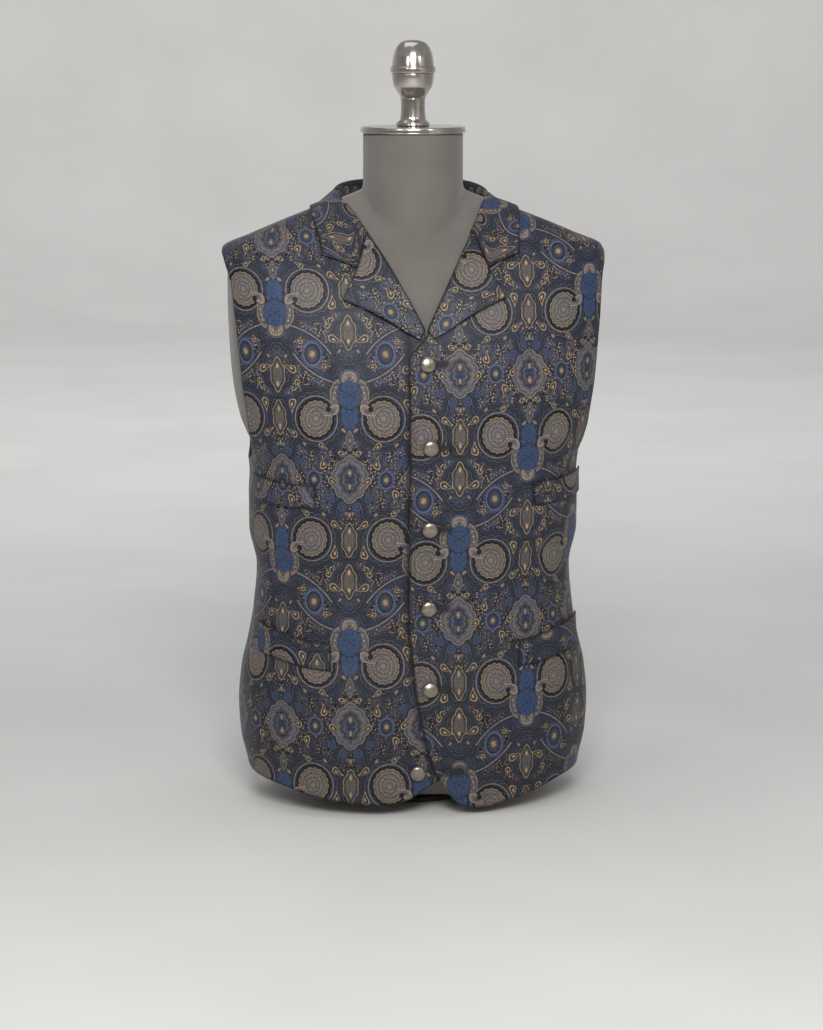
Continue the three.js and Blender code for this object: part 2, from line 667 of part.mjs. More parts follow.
// Pocket welts: sewn down below and at the ends, standing off a little at the top
const WELT_COLUMNS = 9;
const WELT_ROWS = 4;
function welt(name, rows, side) {
  const spot = (x, z) => [angleAcross(x, z), z];
  const bottom = boundary(rows.map((row) => spot(row.x, row.bottom)));
  const top = boundary(rows.map((row) => spot(row.x, row.top)));
  const map = (u, v) => {
    const place = bottom(u).lerp(top(u), v);
    return [Math.atan2(place.x, -place.y), place.z];
  };
  const turned = mirroredTo(side, map);
  const gape = (u, v) => {
    const share = Math.sin(Math.PI * mix(WELT_GAPE_SPAN.from, WELT_GAPE_SPAN.to, u));
    return WELT_CLOTH + LAID_GAP + WELT_GAPE * v * v * share;
  };
  const geometry = bodyCloth(turned, WELT_COLUMNS, WELT_ROWS, gape, WELT_CLOTH);
  return mesh(`${name}_${sideName(side)}`, geometry, BROCADE);
}

// Buttons: a domed head on a short shank
const ROUND_STEPS = 16;
const DOME_STEPS = 4;
function lathe(profile, steps = ROUND_STEPS) {
  const geometry = new THREE.LatheGeometry(profile.map(([r, h]) => new THREE.Vector2(r, h)), steps);
  return geometry.rotateX(Math.PI / 2);
}
function button(index) {
  const { x, z, tilt } = BUTTONS[index];
  const rimLow = SHANK_LENGTH;
  const rimHigh = SHANK_LENGTH + BUTTON_RIM;
  const profile = [[0, 0], [SHANK_RADIUS, 0], [SHANK_RADIUS, rimLow], [BUTTON_RADIUS, rimLow]];
  for (let k = 0; k <= DOME_STEPS; k += 1) {
    const turn = (k / DOME_STEPS) * (Math.PI / 2);
    profile.push([BUTTON_RADIUS * Math.cos(turn), rimHigh + (BUTTON_DOME - BUTTON_RIM) * Math.sin(turn)]);
  }
  profile[profile.length - 1][0] = 0;
  const made = mesh(`button_${index + 1}`, lathe(profile), PEWTER);
  const angle = angleAcross(x, z);
  const under = index === BUTTONS.length - 1 ? -UNDERLAP_DROP : 0;
  const tipped = Math.sin(THREE.MathUtils.degToRad(Math.abs(tilt))) * SHANK_RADIUS;
  const out = bodyNormal(angle, z);
  made.position.copy(skinPoint(angle, z, under + SEAM_GAP + tipped));
  const axis = out.clone().applyAxisAngle(new THREE.Vector3(1, 0, 0), THREE.MathUtils.degToRad(tilt));
  made.quaternion.setFromUnitVectors(new THREE.Vector3(0, 0, 1), axis);
  return made;
}

// Dress form: a closed body from rings, with a neck and flat arm plates
const FORM_STEPS = 40;
const FORM_LEVELS = [
  112, 150, 184, 222, 262, 304, 345, 387, 428, 470, 512, 550, 578, 596, 607, 614,
  621, 628, 635, 642, 649, 656, 663, 672, 685, 705, 722, 730,
];
function neckRadius(angle) {
  const depth = Math.cos(angle) > 0 ? NECK_RADIUS.front : NECK_RADIUS.back;
  const across = Math.sin(angle) / NECK_RADIUS.side;
  return 1 / Math.hypot(across, Math.cos(angle) / depth);
}
function formPoint(angle, z) {
  const behind = smooth(-Math.cos(angle)) * smooth((z - UNDERARM_HEIGHT) / BACK_SHOULDER_RISE);
  const inset = FRONT_CLOTH + SEAM_GAP + easeAt(z) + BACK_SHOULDER_EASE * behind;
  const p = bodyPoint(angle, z).addScaledVector(bodyNormal(angle, z), -inset);
  const torso = Math.hypot(p.x, p.y);
  const blend = NECK_BLEND * smooth((z - NECK_BLEND_HEIGHTS.from) / NECK_BLEND_HEIGHTS.over);
  const isNeck = z > NECK_BLEND_HEIGHTS.none;
  const radius = isNeck ? softMax(torso, neckRadius(angle), blend) : torso;
  const placed = polar(angle, radius, z > NECK_POINT_HEIGHT ? z : p.z);
  const reach = softMin(Math.abs(placed.x), ARM_PLATE_X, ARM_PLATE_BLEND);
  placed.x = Math.sign(placed.x) * Math.min(Math.abs(placed.x), reach);
  return placed;
}
function formBody() {
  const rings = [];
  const ring = (z, shrink, height) => {
    const points = [];
    for (let k = 0; k < FORM_STEPS; k += 1) {
      const p = formPoint((2 * Math.PI * k) / FORM_STEPS, z);
      const length = Math.hypot(p.x, p.y);
      const scale = (length - shrink) / length;
      points.push(new THREE.Vector3(p.x * scale, p.y * scale, height ?? p.z));
    }
    rings.push(points);
  };
  for (const { z, inward } of FORM_ROUNDING) ring(z, inward, z);
  for (const z of FORM_LEVELS) ring(z, 0);
  ring(NECK_TOP, NECK_TOP_ROUND, NECK_TOP);
  const positions = rings.flat().flatMap((p) => [p.x, p.y, p.z]);
  const indices = [];
  for (let i = 0; i < rings.length - 1; i += 1) {
    for (let k = 0; k < FORM_STEPS; k += 1) {
      const next = (k + 1) % FORM_STEPS;
      const low = i * FORM_STEPS;
      const high = low + FORM_STEPS;
      indices.push(low + k, low + next, high + next, low + k, high + next, high + k);
    }
  }
  const bottomCentre = positions.length / 3;
  positions.push(0, 0, FORM_BASE);
  const topCentre = bottomCentre + 1;
  positions.push(0, 0, NECK_TOP);
  const lastRing = (rings.length - 1) * FORM_STEPS;
  for (let k = 0; k < FORM_STEPS; k += 1) {
    const next = (k + 1) % FORM_STEPS;
    indices.push(bottomCentre, next, k);
    indices.push(topCentre, lastRing + k, lastRing + next);
  }
  return mesh('form_body', solid(positions, indices), FORM_JERSEY);
}
const FOOT_BEVEL_STEPS = 2;
const FOOT_CURVE_STEPS = 20;
function foot() {
  const { halfWidth, halfDepth, height, round } = FOOT;
  const shape = new THREE.Shape();
  shape.absellipse(0, 0, halfWidth - round, halfDepth - round, 0, 2 * Math.PI);
  const geometry = new THREE.ExtrudeGeometry(shape, {
    depth: height - 2 * round,
    bevelThickness: round,
    bevelSize: round,
    bevelSegments: FOOT_BEVEL_STEPS,
    curveSegments: FOOT_CURVE_STEPS,
  });
  geometry.translate(0, 0, round);
  return mesh('foot', geometry, FOOT_PAINT);
}
const CAP_STEPS = 32;
function neckCap() {
  const { radius, height, round, chamfer } = CAP;
  const profile = [
    [0, 0],
    [radius - chamfer, 0],
    [radius, chamfer],
    [radius, height - round],
    [radius - round, height],
    [0, height],
  ];
  const made = mesh('neck_cap', lathe(profile, CAP_STEPS), CHROME);
  made.position.z = NECK_TOP + SEAM_GAP;
  return made;
}
const FINIAL_STEPS = 24;
function finial() {
  const made = mesh('finial', lathe(FINIAL, FINIAL_STEPS), CHROME);
  made.position.z = NECK_TOP + CAP.height + 2 * SEAM_GAP;
  return made;
}

const vest = new THREE.Group();
for (const side of [1, -1]) {
  vest.add(front(side), back(side), lapel(side));
  vest.add(welt('upper_welt', UPPER_WELT, side), welt('lower_welt', LOWER_WELT, side));
}
vest.add(collar());
BUTTONS.forEach((row, index) => vest.add(button(index)));

const dressForm = new THREE.Group();
dressForm.add(formBody(), foot(), neckCap(), finial());

const part = new THREE.Group();
part.add(vest, dressForm);
export default part;
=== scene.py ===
"""Brocade vest on a limbless dress form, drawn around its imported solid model."""

import math

import bpy
import numpy as np
from bpy.props import FloatProperty, FloatVectorProperty, PointerProperty
from mathutils import Matrix, Vector


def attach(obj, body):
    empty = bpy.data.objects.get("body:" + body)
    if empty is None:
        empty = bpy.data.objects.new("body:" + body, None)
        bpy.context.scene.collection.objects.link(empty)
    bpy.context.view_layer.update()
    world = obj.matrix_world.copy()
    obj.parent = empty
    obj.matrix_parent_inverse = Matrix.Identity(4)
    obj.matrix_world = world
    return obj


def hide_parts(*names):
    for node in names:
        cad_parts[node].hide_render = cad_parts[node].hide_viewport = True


bl_info = {
    "name": "Brocade vest",
    "version": (1, 0, 0),
    "blender": (4, 5, 0),
    "location": "3D View > Sidebar > Vest",
    "description": "Makes a brocade vest on a dress form, piece by piece, with its stage",
    "category": "Object",
}

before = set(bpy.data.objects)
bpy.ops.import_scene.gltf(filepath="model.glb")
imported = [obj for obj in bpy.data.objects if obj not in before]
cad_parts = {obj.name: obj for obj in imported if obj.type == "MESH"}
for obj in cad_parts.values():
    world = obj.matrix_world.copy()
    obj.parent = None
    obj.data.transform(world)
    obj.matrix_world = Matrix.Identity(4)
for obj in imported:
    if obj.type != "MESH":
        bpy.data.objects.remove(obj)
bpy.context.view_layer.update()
MM = 0.001


# Sizes and colours
def screen(red, green, blue):
    """A colour picked on screen, from 0 to 255, as the light values that Blender keeps."""
    shares = (c / 255 for c in (red, green, blue))
    return tuple(s / 12.92 if s <= 0.04045 else ((s + 0.055) / 1.055) ** 2.4 for s in shares)


def size(name, description, default):
    return FloatProperty(name=name, description=description, default=default * MM, unit="LENGTH")


def colour(name, description, rgb):
    looks = {"subtype": "COLOR", "size": 3, "default": screen(*rgb)}
    return FloatVectorProperty(name=name, description=description, **looks)


class VestSizes(bpy.types.PropertyGroup):
    front_cloth: size("Front cloth", "Thickness of the two fronts", 2.0)
    back_cloth: size("Back cloth", "Thickness of the two backs", 1.6)
    collar_cloth: size("Collar cloth", "Thickness of the lapels and the collar", 2.0)
    welt_cloth: size("Welt cloth", "Thickness of the pocket welts", 2.2)
    topstitch_inset: size("Topstitch inset", "How far the topstitching runs inside an edge", 5.5)
    stitch_length: size("Stitch length", "Length of one stitch on the face", 2.3)
    stitch_gap: size("Stitch gap", "Cloth between two stitches", 0.8)
    thread: size("Thread", "Thickness of the sewing thread", 0.55)
    buttonhole: size("Buttonhole", "Length of a buttonhole's slit", 19.0)
    button: size("Button", "Radius of a button", 8.6)


class VestColours(bpy.types.PropertyGroup):
    ground: colour("Ground", "Ground of the brocade", (24, 26, 34))
    slate: colour("Slate", "Second ground of the brocade", (52, 59, 76))
    blue: colour("Blue", "Palmettes of the brocade", (54, 73, 104))
    outline: colour("Outline", "Light outlines of the brocade", (108, 114, 140))
    taupe: colour("Taupe", "Rosettes and large leaves of the brocade", (139, 131, 126))
    gold: colour("Gold", "Small motifs and dots of the brocade", (166, 147, 117))
    brown: colour("Brown", "Cartouches of the brocade", (66, 56, 50))
    satin: colour("Satin", "Backs of the vest", (24, 25, 32))
    thread: colour("Thread", "Topstitching and buttonholes", (20, 20, 27))
    pewter: colour("Pewter", "Buttons", (150, 142, 130))
    jersey: colour("Jersey", "Cover of the dress form", (112, 107, 102))
    metal: colour("Metal", "Cap and finial of the dress form", (206, 198, 190))
    # Dark, so that the foot also stands in for painted shade under the hem
    foot: colour("Foot", "Foot of the dress form", (30, 28, 26))
    floor: colour("Floor", "Floor and backdrop", (222, 221, 218))


# The worn cloth's own shape, with the same tables as the solid model
SEAM_GAP = 0.3
HALF_SEAM = SEAM_GAP / 2
SHOULDER_TIP_HEIGHT = 612
NECK_POINT_HEIGHT = 663
NAPE_HEIGHT = 655
UNDERARM_HEIGHT = 379
SEAM_Y = 8
SIDE_HEM_HEIGHT = 41
BACK_HEM_HEIGHT = 34
OVERLAP = 18.8
ROLL_INSET = 1.2
UNDERLAP_DROP = 2.6
UNDERLAP_FADE = (-64, -36)
LAID_GAP = 0.75
LAID_ON = 2.0 + LAID_GAP
ROUNDNESS = 2.4
# Height, half width at the side, depth to the front, depth to the back, and the form's ease
BODY = np.array(
    [
        (-20, 178, 115, 107, 13),
        (0, 181, 117, 109, 13),
        (40, 184.5, 119, 111, 12),
        (75, 192, 119, 111, 11),
        (110, 194, 118, 108, 9),
        (150, 190.5, 115, 103, 7),
        (180, 183.5, 112, 98, 6),
        (216, 177, 110, 94, 6),
        (262, 173, 109, 91, 6),
        (306, 181, 113, 95, 6),
        (345, 181, 117, 101, 6),
        (366, 180, 118.5, 104, 6),
        (387, 182, 120, 108, 6),
        (405, 190, 121, 110, 6),
        (425, 198, 121, 113, 6),
        (468, 207, 119, 117, 6),
        (512, 212, 113, 116, 5.5),
        (555, 216, 101, 112, 5),
        (590, 215, 85, 105, 4.6),
        (612, 207, 69, 96, 4.2),
        (625, 178, 58, 88, 3.9),
        (640, 142, 45, 79, 3.7),
        (652, 111, 34, 69, 3.8),
        (663, 81, 22, 62, 3.5),
        (675, 50, 12, 50, 3),
        (690, 30, 8, 26, 3),
    ]
)
# Largest folds: side, from and to as (round, height), width and depth, as in the solid model
FOLDS = [
    (1, (205, 300), (120, 268), 9, -2.6), (1, (212, 262), (150, 246), 8, -2.2),
    (1, (192, 470), (128, 392), 12, -2.0), (1, (168, 20), (150, 150), 17, -3.0),
    (1, (90, 2), (104, 128), 15, -1.8), (-1, (210, 286), (138, 262), 9, -2.8),
    (-1, (206, 246), (160, 236), 8, -1.8), (-1, (190, 452), (120, 380), 12, -2.2),
    (-1, (160, 22), (140, 140), 17, -2.6), (-1, (74, 4), (92, 116), 14, -1.8),
    (1, (300, 300), (380, 262), 11, -2.6), (1, (320, 20), (345, 170), 20, -3.0),
    (1, (290, 560), (350, 470), 14, -2.0), (-1, (296, 288), (372, 254), 11, -2.4),
    (-1, (330, 24), (352, 160), 20, -2.6), (-1, (288, 548), (356, 458), 14, -2.2),
]
# Small creases that the solid model leaves to the cloth's surface
CREASES = [
    (1, (150, 330), (84, 318), 5, -1.12), (1, (128, 300), (60, 306), 6, 0.98),
    (1, (196, 228), (118, 222), 6, -1.4), (1, (44, 318), (14, 316), 4, 0.7),
    (1, (48, 226), (14, 229), 4, 0.7), (1, (50, 408), (14, 405), 4, 0.63),
    (1, (54, 140), (15, 142), 4, 0.7), (1, (150, 540), (118, 462), 8, -1.54),
    (1, (96, 470), (70, 380), 9, -1.26), (1, (60, 120), (52, 20), 9, -1.26),
    (1, (196, 130), (186, 40), 11, -1.96), (1, (118, 206), (44, 232), 7, -1.26),
    (1, (186, 420), (150, 372), 7, -1.4), (-1, (146, 322), (80, 312), 5, -1.12),
    (-1, (120, 292), (52, 300), 6, 0.98), (-1, (192, 220), (112, 228), 6, -1.4),
    (-1, (58, 410), (26, 404), 4, -0.7), (-1, (60, 234), (26, 230), 4, -0.7),
    (-1, (62, 132), (26, 140), 4, -0.7), (-1, (144, 530), (110, 450), 8, -1.68),
    (-1, (92, 452), (62, 372), 9, -1.12), (-1, (50, 110), (40, 24), 9, -1.12),
    (-1, (192, 120), (180, 36), 11, -2.1), (-1, (112, 200), (40, 224), 7, -1.4),
    (-1, (184, 410), (146, 366), 7, -1.54), (1, (276, 340), (350, 322), 8, -1.68),
    (1, (290, 240), (400, 232), 8, -1.68), (1, (280, 420), (330, 380), 9, -1.82),
    (1, (430, 600), (420, 520), 12, -1.96), (1, (390, 30), (402, 140), 12, -2.1),
    (-1, (270, 330), (342, 316), 8, -1.82), (-1, (286, 234), (396, 226), 8, -1.54),
    (-1, (276, 410), (326, 372), 9, -1.68), (-1, (424, 592), (416, 510), 12, -1.82),
    (-1, (386, 28), (398, 130), 12, -2.24),
]
FOLD_RADIUS = 158

FRONT_EDGE = {
    1: [(26, 22), (15, 38), (4, 62.5), (-4.7, 97), (-10.7, 130), (-15.5, 175), (-OVERLAP, 215)],
    -1: [(14, 42), (17, 62.5), (18.2, 97), (OVERLAP, 130), (OVERLAP, 175), (OVERLAP, 215)],
}
STRAIGHT_EDGE = [300, 400, 503]
ROLL_LINE = [(-OVERLAP, 503), (0, 525), (13.5, 551), (27, 576), (39, 598), (56, 628), (67.5, 645)]
HEM = {
    1: [(36, 13.5), (50, 8.8), (67, 8.8), (90, 14), (121, 21.5), (153, 31)],
    -1: [
        (-6, 36), (4, 30), (14, 22.7), (31, 15.7), (53, 13.7), (80, 16.5), (106.5, 19.5), (130, 24),
        (154, 31),
    ],
}
BACK_NECKLINE = [(26, 656.8), (44, 659.5), (64, 660.5), (77, 661.6)]
# Height, and how far the armhole's edge is to the front and to the back
ARMHOLE = [
    (UNDERARM_HEIGHT, SEAM_Y, SEAM_Y),
    (381.5, -8, 20),
    (390, -27, 35),
    (406, -44, 50),
    (430, -54, 62),
    (468, -56, 68),
    (512, -54, 68),
    (555, -48, 63),
    (585, -36, 52),
    (602, -20, 36),
    (SHOULDER_TIP_HEIGHT, SEAM_Y, SEAM_Y),
]
GORGE_TOP = (57, 628)
NOTCH = (71, 594)
LAPEL_TIP = (87.5, 561)
LAPEL_FOOT = (2, 523)
LAPEL_FOOT_WIDTH = 5
LAPEL_LOWER_EDGE = [(7, 520), (20, 526.5), (44, 541), (66, 552)]
LAPEL_SPRING = 1.2
LAPEL_EDGE_LIFT = 1.6
LAPEL_LEAN = 30
ROLL_SHADE = 1.2
# Collar rows from the notch to the centre back; None means on the front itself
COLLAR_OUTER = [
    (106, None, 606),
    (109, -26, 633),
    (110, 8, 651),
    (104, 42, 651),
    (76, 71, 645),
    (40, 84, 637),
    (0, 87.5, 633),
]
COLLAR_FOLD = [
    (57, None, 628),
    (67.5, None, 645),
    (80, 7, 666.5),
    (79, 33, 673),
    (66.5, 52.5, 678),
    (43, 65.5, 680.5),
    (0, 73.5, 681.5),
]
COLLAR_SEAM = [
    (57, None, 628),
    (67.5, None, 645),
    (79, 7, 665),
    (77, 31, 663.4),
    (64, 49, 662),
    (42, 60.5, 661),
    (0, 67, 656.5),
]
FOLD_HALF_WIDTH = 2.8
FOLD_DROP = 3
LIP_REACH = 2.4
LIP_DEPTH = 0.6
FALL_CLEARANCE = 0.8
FALL_BULGE = 4
FALL_ROWS = 6
NOTCH_ROW = 2
NOTCH_FADE = 0.16
UPPER_WELT = [(117, 364.5, 339), (138, 364.5, 338.5), (158, 367, 340), (176.5, 370.5, 343.5)]
LOWER_WELT = [(102, 191, 162), (128, 194.5, 164.5), (153, 201.5, 170), (174, 208, 176)]
WELT_GAPE = 1.4
BUTTON_DOME = 4.2
BUTTON_RIM = 1.5
SHANK_RADIUS = 2.2
SHANK_LENGTH = 2.4
# Across, up and tilt in degrees; the last button is on the underlap
BUTTONS = [
    (0.5, 494, 0), (3.0, 405.5, 3), (3.0, 316.5, -2), (2.5, 229.5, 2), (3.4, 141.5, -3), (-10.4, 50.5, 9),
]
OPEN_BUTTONHOLE = (29.5, 51.5)
BUTTONHOLE_START = 0.5

NECK_RADIUS = (54, 55, 53)
NECK_BLEND = 5
NECK_TOP = 733
ARM_PLATE_X = 202
ARM_PLATE_BLEND = 5
BACK_SHOULDER_EASE = 1.5
# Width and length of each piece, for spacing its points and rounding its edges
FRONT_SPAN = (170, 640)
BACK_SPAN = (230, 620)
LAPEL_SPAN = (60, 115)
COLLAR_SPAN = (230, 62)
WELT_SPAN = (80, 28)
# Share of a front's inner edge that is below the roll line, of its outer edge that is side
# seam, and of a back's top that is neckline
BELOW_ROLL = 18 / 26
SIDE_SHARE = 14 / 26
NECKLINE_SHARE = 5 / 12
# Share of a front's inner edge at which the topstitching ends, and the strip that it runs in
TOPSTITCH_END = 0.69
STITCHED_STRIP = 12
THREAD_SINK = 0.3
STITCH_SIDES = 7
BUTTONHOLE_REACH = 2.1
BUTTONHOLE_BAR = 0.25
FORM_BASE = 6.3
FORM_ROUNDING = [(FORM_BASE, 66), (8.5, 52), (16, 33), (28, 17), (44, 6.5), (62, 1.5), (80, 0)]
FOOT_SIZE = (66, 52, 6, 1.5)
CAP_RADIUS = 57
CAP_HEIGHT = 7
# Brocade: distance between two columns of motifs, height of the repeat, how far the turned
# columns are shifted, and how far below its start a column's table ends
COLUMN_WIDTH = 78
REPEAT_HEIGHT = 270
TURNED_SHIFT = 42
REPEAT_END = 204.0
# Where a column of motifs starts on each piece: across and up
PATTERN_START = {
    "front_left": (35, 328),
    "front_right": (-83, 486),
    "lapel_left": (22, 590),
    "lapel_right": (-30, 610),
    "collar": (12, 40),
    "welt_left": (60, 150),
    "welt_right": (-40, 210),
}


def clamp01(t):
    return np.clip(t, 0, 1)


def smooth(t):
    t = clamp01(t)
    return t * t * (3 - 2 * t)


def soft_max(a, b, k):
    return (a + b + np.hypot(a - b, k)) / 2


def soft_min(a, b, k):
    return (a + b - np.hypot(a - b, k)) / 2


def column(index):
    """A smooth curve through a column of the body's table that never swings past its rows."""
    heights = BODY[:, 0]
    values = BODY[:, index]
    slopes = np.diff(values) / np.diff(heights)
    tangents = np.concatenate([slopes[:1], np.zeros(len(slopes) - 1), slopes[-1:]])
    for i in range(1, len(slopes)):
        before, after = slopes[i - 1], slopes[i]
        if before * after > 0:
            tangents[i] = 2 * before * after / (before + after)

    def at(z):
        z = np.clip(z, heights[0], heights[-1])
        i = np.clip(np.searchsorted(heights, z) - 1, 0, len(heights) - 2)
        span = heights[i + 1] - heights[i]
        t = (z - heights[i]) / span
        rise = t * t * (3 - 2 * t)
        ends = values[i] + (values[i + 1] - values[i]) * rise
        return ends + span * (tangents[i] * t * (1 - t) ** 2 + tangents[i + 1] * t * t * (t - 1))

    return at


half_width_at = column(1)
front_at = column(2)
back_at = column(3)
ease_at = column(4)


def unit(v):
    return v / np.maximum(np.linalg.norm(v, axis=-1, keepdims=True), 1e-9)


def body_radius(angle, z):
    depth = np.where(np.cos(angle) > 0, front_at(z), back_at(z))
    across = np.abs(np.sin(angle)) / half_width_at(z)
    along = np.abs(np.cos(angle)) / depth
    return (across**ROUNDNESS + along**ROUNDNESS) ** (-1 / ROUNDNESS)


def body_point(angle, z):
    angle, z = np.broadcast_arrays(np.asarray(angle, float), np.asarray(z, float))
    r = body_radius(angle, z)
    return np.stack([r * np.sin(angle), -r * np.cos(angle), z], axis=-1)


def body_normal(angle, z):
    turn = body_point(angle + 0.004, z) - body_point(angle - 0.004, z)
    up = body_point(angle, z + 0.6) - body_point(angle, z - 0.6)
    return unit(np.cross(turn, up))


def angle_across(x, z, back=False):
    depth = back_at(z) if back else front_at(z)
    reach = np.minimum(1, np.abs(x) / half_width_at(z))
    y = depth * (1 - reach**ROUNDNESS) ** (1 / ROUNDNESS)
    return np.arctan2(x, -y if back else y)


def angle_beside(y, z):
    depth = front_at(z) if y < 0 else back_at(z)
    reach = np.minimum(1, abs(y) / depth)
    x = half_width_at(z) * (1 - reach**ROUNDNESS) ** (1 / ROUNDNESS)
    return np.arctan2(x, -y)


def fold_lift(angle, z):
    """How far the folds and creases move the cloth in or out."""
    turned = np.arctan2(np.sin(angle), np.cos(angle))
    lift = np.zeros(np.broadcast(turned, z).shape)
    for side, start, end, width, depth in FOLDS + CREASES:
        across, up = end[0] - start[0], end[1] - start[1]
        reach = math.hypot(across, up)
        round_it = side * turned * FOLD_RADIUS - start[0]
        t = (round_it * across + (z - start[1]) * up) / reach**2
        offset = (round_it * up - (z - start[1]) * across) / reach
        inside = (t > 0) & (t < 1)
        lift += inside * depth * np.sin(math.pi * clamp01(t)) * np.exp(-((offset / width) ** 2))
    return lift


def skin_point(angle, z, lift):
    return body_point(angle, z) + body_normal(angle, z) * (lift + fold_lift(angle, z))[..., None]


class Curve:
    """A smooth curve through points, by its share or by its share of length."""

    def __init__(self, points):
        p = np.array(points, float)
        p = np.concatenate([[2 * p[0] - p[1]], p, [2 * p[-1] - p[-2]]])
        gaps = np.sqrt(np.linalg.norm(np.diff(p, axis=0), axis=1))
        d0, d1, d2 = gaps[:-2, None], gaps[1:-1, None], gaps[2:, None]
        x0, x1, x2, x3 = p[:-3], p[1:-2], p[2:-1], p[3:]
        leave = ((x1 - x0) / d0 - (x2 - x0) / (d0 + d1) + (x2 - x1) / d1) * d1
        arrive = ((x2 - x1) / d1 - (x3 - x1) / (d1 + d2) + (x3 - x2) / d2) * d1
        square = 3 * (x2 - x1) - 2 * leave - arrive
        cube = 2 * (x1 - x2) + leave + arrive
        self.parts = np.stack([x1, leave, square, cube], axis=1)
        self.shares = np.linspace(0, 1, 401)
        line = self.by_share(self.shares)
        lengths = np.concatenate([[0], np.cumsum(np.linalg.norm(np.diff(line, axis=0), axis=1))])
        self.length = lengths[-1]
        self.lengths = lengths / lengths[-1]

    def by_share(self, t):
        p = clamp01(np.asarray(t, float)) * len(self.parts)
        i = np.minimum(np.floor(p).astype(int), len(self.parts) - 1)
        w = (p - i)[..., None]
        c = self.parts[i]
        return c[..., 0, :] + w * (c[..., 1, :] + w * (c[..., 2, :] + w * c[..., 3, :]))

    def __call__(self, t):
        return self.by_share(np.interp(clamp01(t), self.lengths, self.shares))

    def direction(self, t):
        return unit(self.by_share(t + 0.0005) - self.by_share(t - 0.0005))


def boundary(places):
    return Curve([p if len(p) == 3 else body_point(*p) for p in places])


def joined(first, second, share):
    def at(t):
        t = np.asarray(t, float)
        early = first(t / share)
        late = second((t - share) / (1 - share))
        return np.where((t <= share)[..., None], early, late)

    return at


def patch(bottom, top, start, end):
    """A patch of cloth between four boundaries, as an angle and a height for each u and v."""
    low = (bottom(0.0), bottom(1.0))
    high = (top(0.0), top(1.0))

    def at(u, v):
        a, b = u[..., None], v[..., None]
        ruled = bottom(u) * (1 - b) + top(u) * b + start(v) * (1 - a) + end(v) * a
        corners = (low[0] * (1 - a) + low[1] * a) * (1 - b) + (high[0] * (1 - a) + high[1] * a) * b
        place = ruled - corners
        return np.arctan2(place[..., 0], -place[..., 1]), place[..., 2]

    return at


def mirrored_to(side, place):
    def at(u, v):
        angle, z = place(u, v)
        return side * angle, z

    return at


def front_edge(side):
    rows = FRONT_EDGE[side] + [(-side * OVERLAP, z) for z in STRAIGHT_EDGE]
    return boundary([(angle_across(side * x, z), z) for x, z in rows])


def roll_line(inset):
    rows = [(angle_across(x + inset, z), z) for x, z in ROLL_LINE]
    return boundary(rows + [(angle_beside(SEAM_Y - HALF_SEAM, NECK_POINT_HEIGHT), NECK_POINT_HEIGHT)])


def side_seam(gap, hem_height):
    heights = np.linspace(hem_height, UNDERARM_HEIGHT, 9)
    return boundary([(angle_beside(SEAM_Y + gap, z), z) for z in heights])


def armhole(face, gap):
    return boundary([(angle_beside(row[face] + gap, row[0]), row[0]) for row in ARMHOLE])


def shoulder_seam(gap):
    heights = np.linspace(NECK_POINT_HEIGHT, SHOULDER_TIP_HEIGHT, 9)
    return boundary([(angle_beside(SEAM_Y + gap, z), z) for z in heights])


def front_place(side):
    start = joined(front_edge(side), roll_line(ROLL_INSET), BELOW_ROLL)
    end = joined(side_seam(-HALF_SEAM, SIDE_HEM_HEIGHT), armhole(1, -HALF_SEAM), SIDE_SHARE)
    hem = [(angle_across(x, z), z) for x, z in HEM[side]]
    bottom = boundary([start(0.0), *hem, end(0.0)])
    return patch(bottom, shoulder_seam(-HALF_SEAM), start, end)


def back_place():
    heights = np.linspace(BACK_HEM_HEIGHT, NAPE_HEIGHT, 5)
    start = boundary([(math.pi - HALF_SEAM / back_at(z), z) for z in heights])
    end = joined(side_seam(HALF_SEAM, SIDE_HEM_HEIGHT), armhole(2, HALF_SEAM), SIDE_SHARE)
    neck_point = (angle_beside(SEAM_Y + HALF_SEAM, NECK_POINT_HEIGHT), NECK_POINT_HEIGHT)
    neck_rows = [(angle_across(x, z, True), z) for x, z in BACK_NECKLINE]
    neckline = boundary([start(1.0), *neck_rows, neck_point])
    top = joined(neckline, shoulder_seam(HALF_SEAM), NECKLINE_SHARE)
    middle = BACK_HEM_HEIGHT + 0.4 * (SIDE_HEM_HEIGHT - BACK_HEM_HEIGHT)
    bottom = boundary([start(0.0), (angle_across(100, middle, True), middle), end(0.0)])
    return patch(bottom, top, start, end)


def lapel_place():
    def spot(x, z):
        return angle_across(x, z), z

    roll = [spot(x, z) for x, z in ROLL_LINE if LAPEL_FOOT[1] + 5 < z < GORGE_TOP[1] - 5]
    start = boundary([spot(LAPEL_FOOT[0], LAPEL_FOOT[1] + LAPEL_FOOT_WIDTH), *roll, spot(*GORGE_TOP)])
    end = boundary([*[spot(x, z) for x, z in LAPEL_LOWER_EDGE], spot(*LAPEL_TIP)])
    top = boundary([start(1.0), spot(NOTCH[0] - 1, NOTCH[1]), spot(*LAPEL_TIP)])
    bottom = boundary([start(0.0), end(0.0)])
    return patch(bottom, top, start, end)


def welt_place(rows):
    bottom = boundary([(angle_across(x, low), low) for x, high, low in rows])
    top = boundary([(angle_across(x, high), high) for x, high, low in rows])

    def at(u, v):
        place = bottom(u) * (1 - v[..., None]) + top(u) * v[..., None]
        return np.arctan2(place[..., 0], -place[..., 1]), place[..., 2]

    return at


def distance_round(angle, z):
    """Distance round the cloth from the front's middle, with its sign."""
    steps = 40
    total = np.zeros(np.shape(angle))
    before = body_point(np.zeros(np.shape(angle)), z)
    for k in range(1, steps + 1):
        here = body_point(angle * k / steps, z)
        total += np.linalg.norm(here - before, axis=-1)
        before = here
    return np.sign(angle) * total


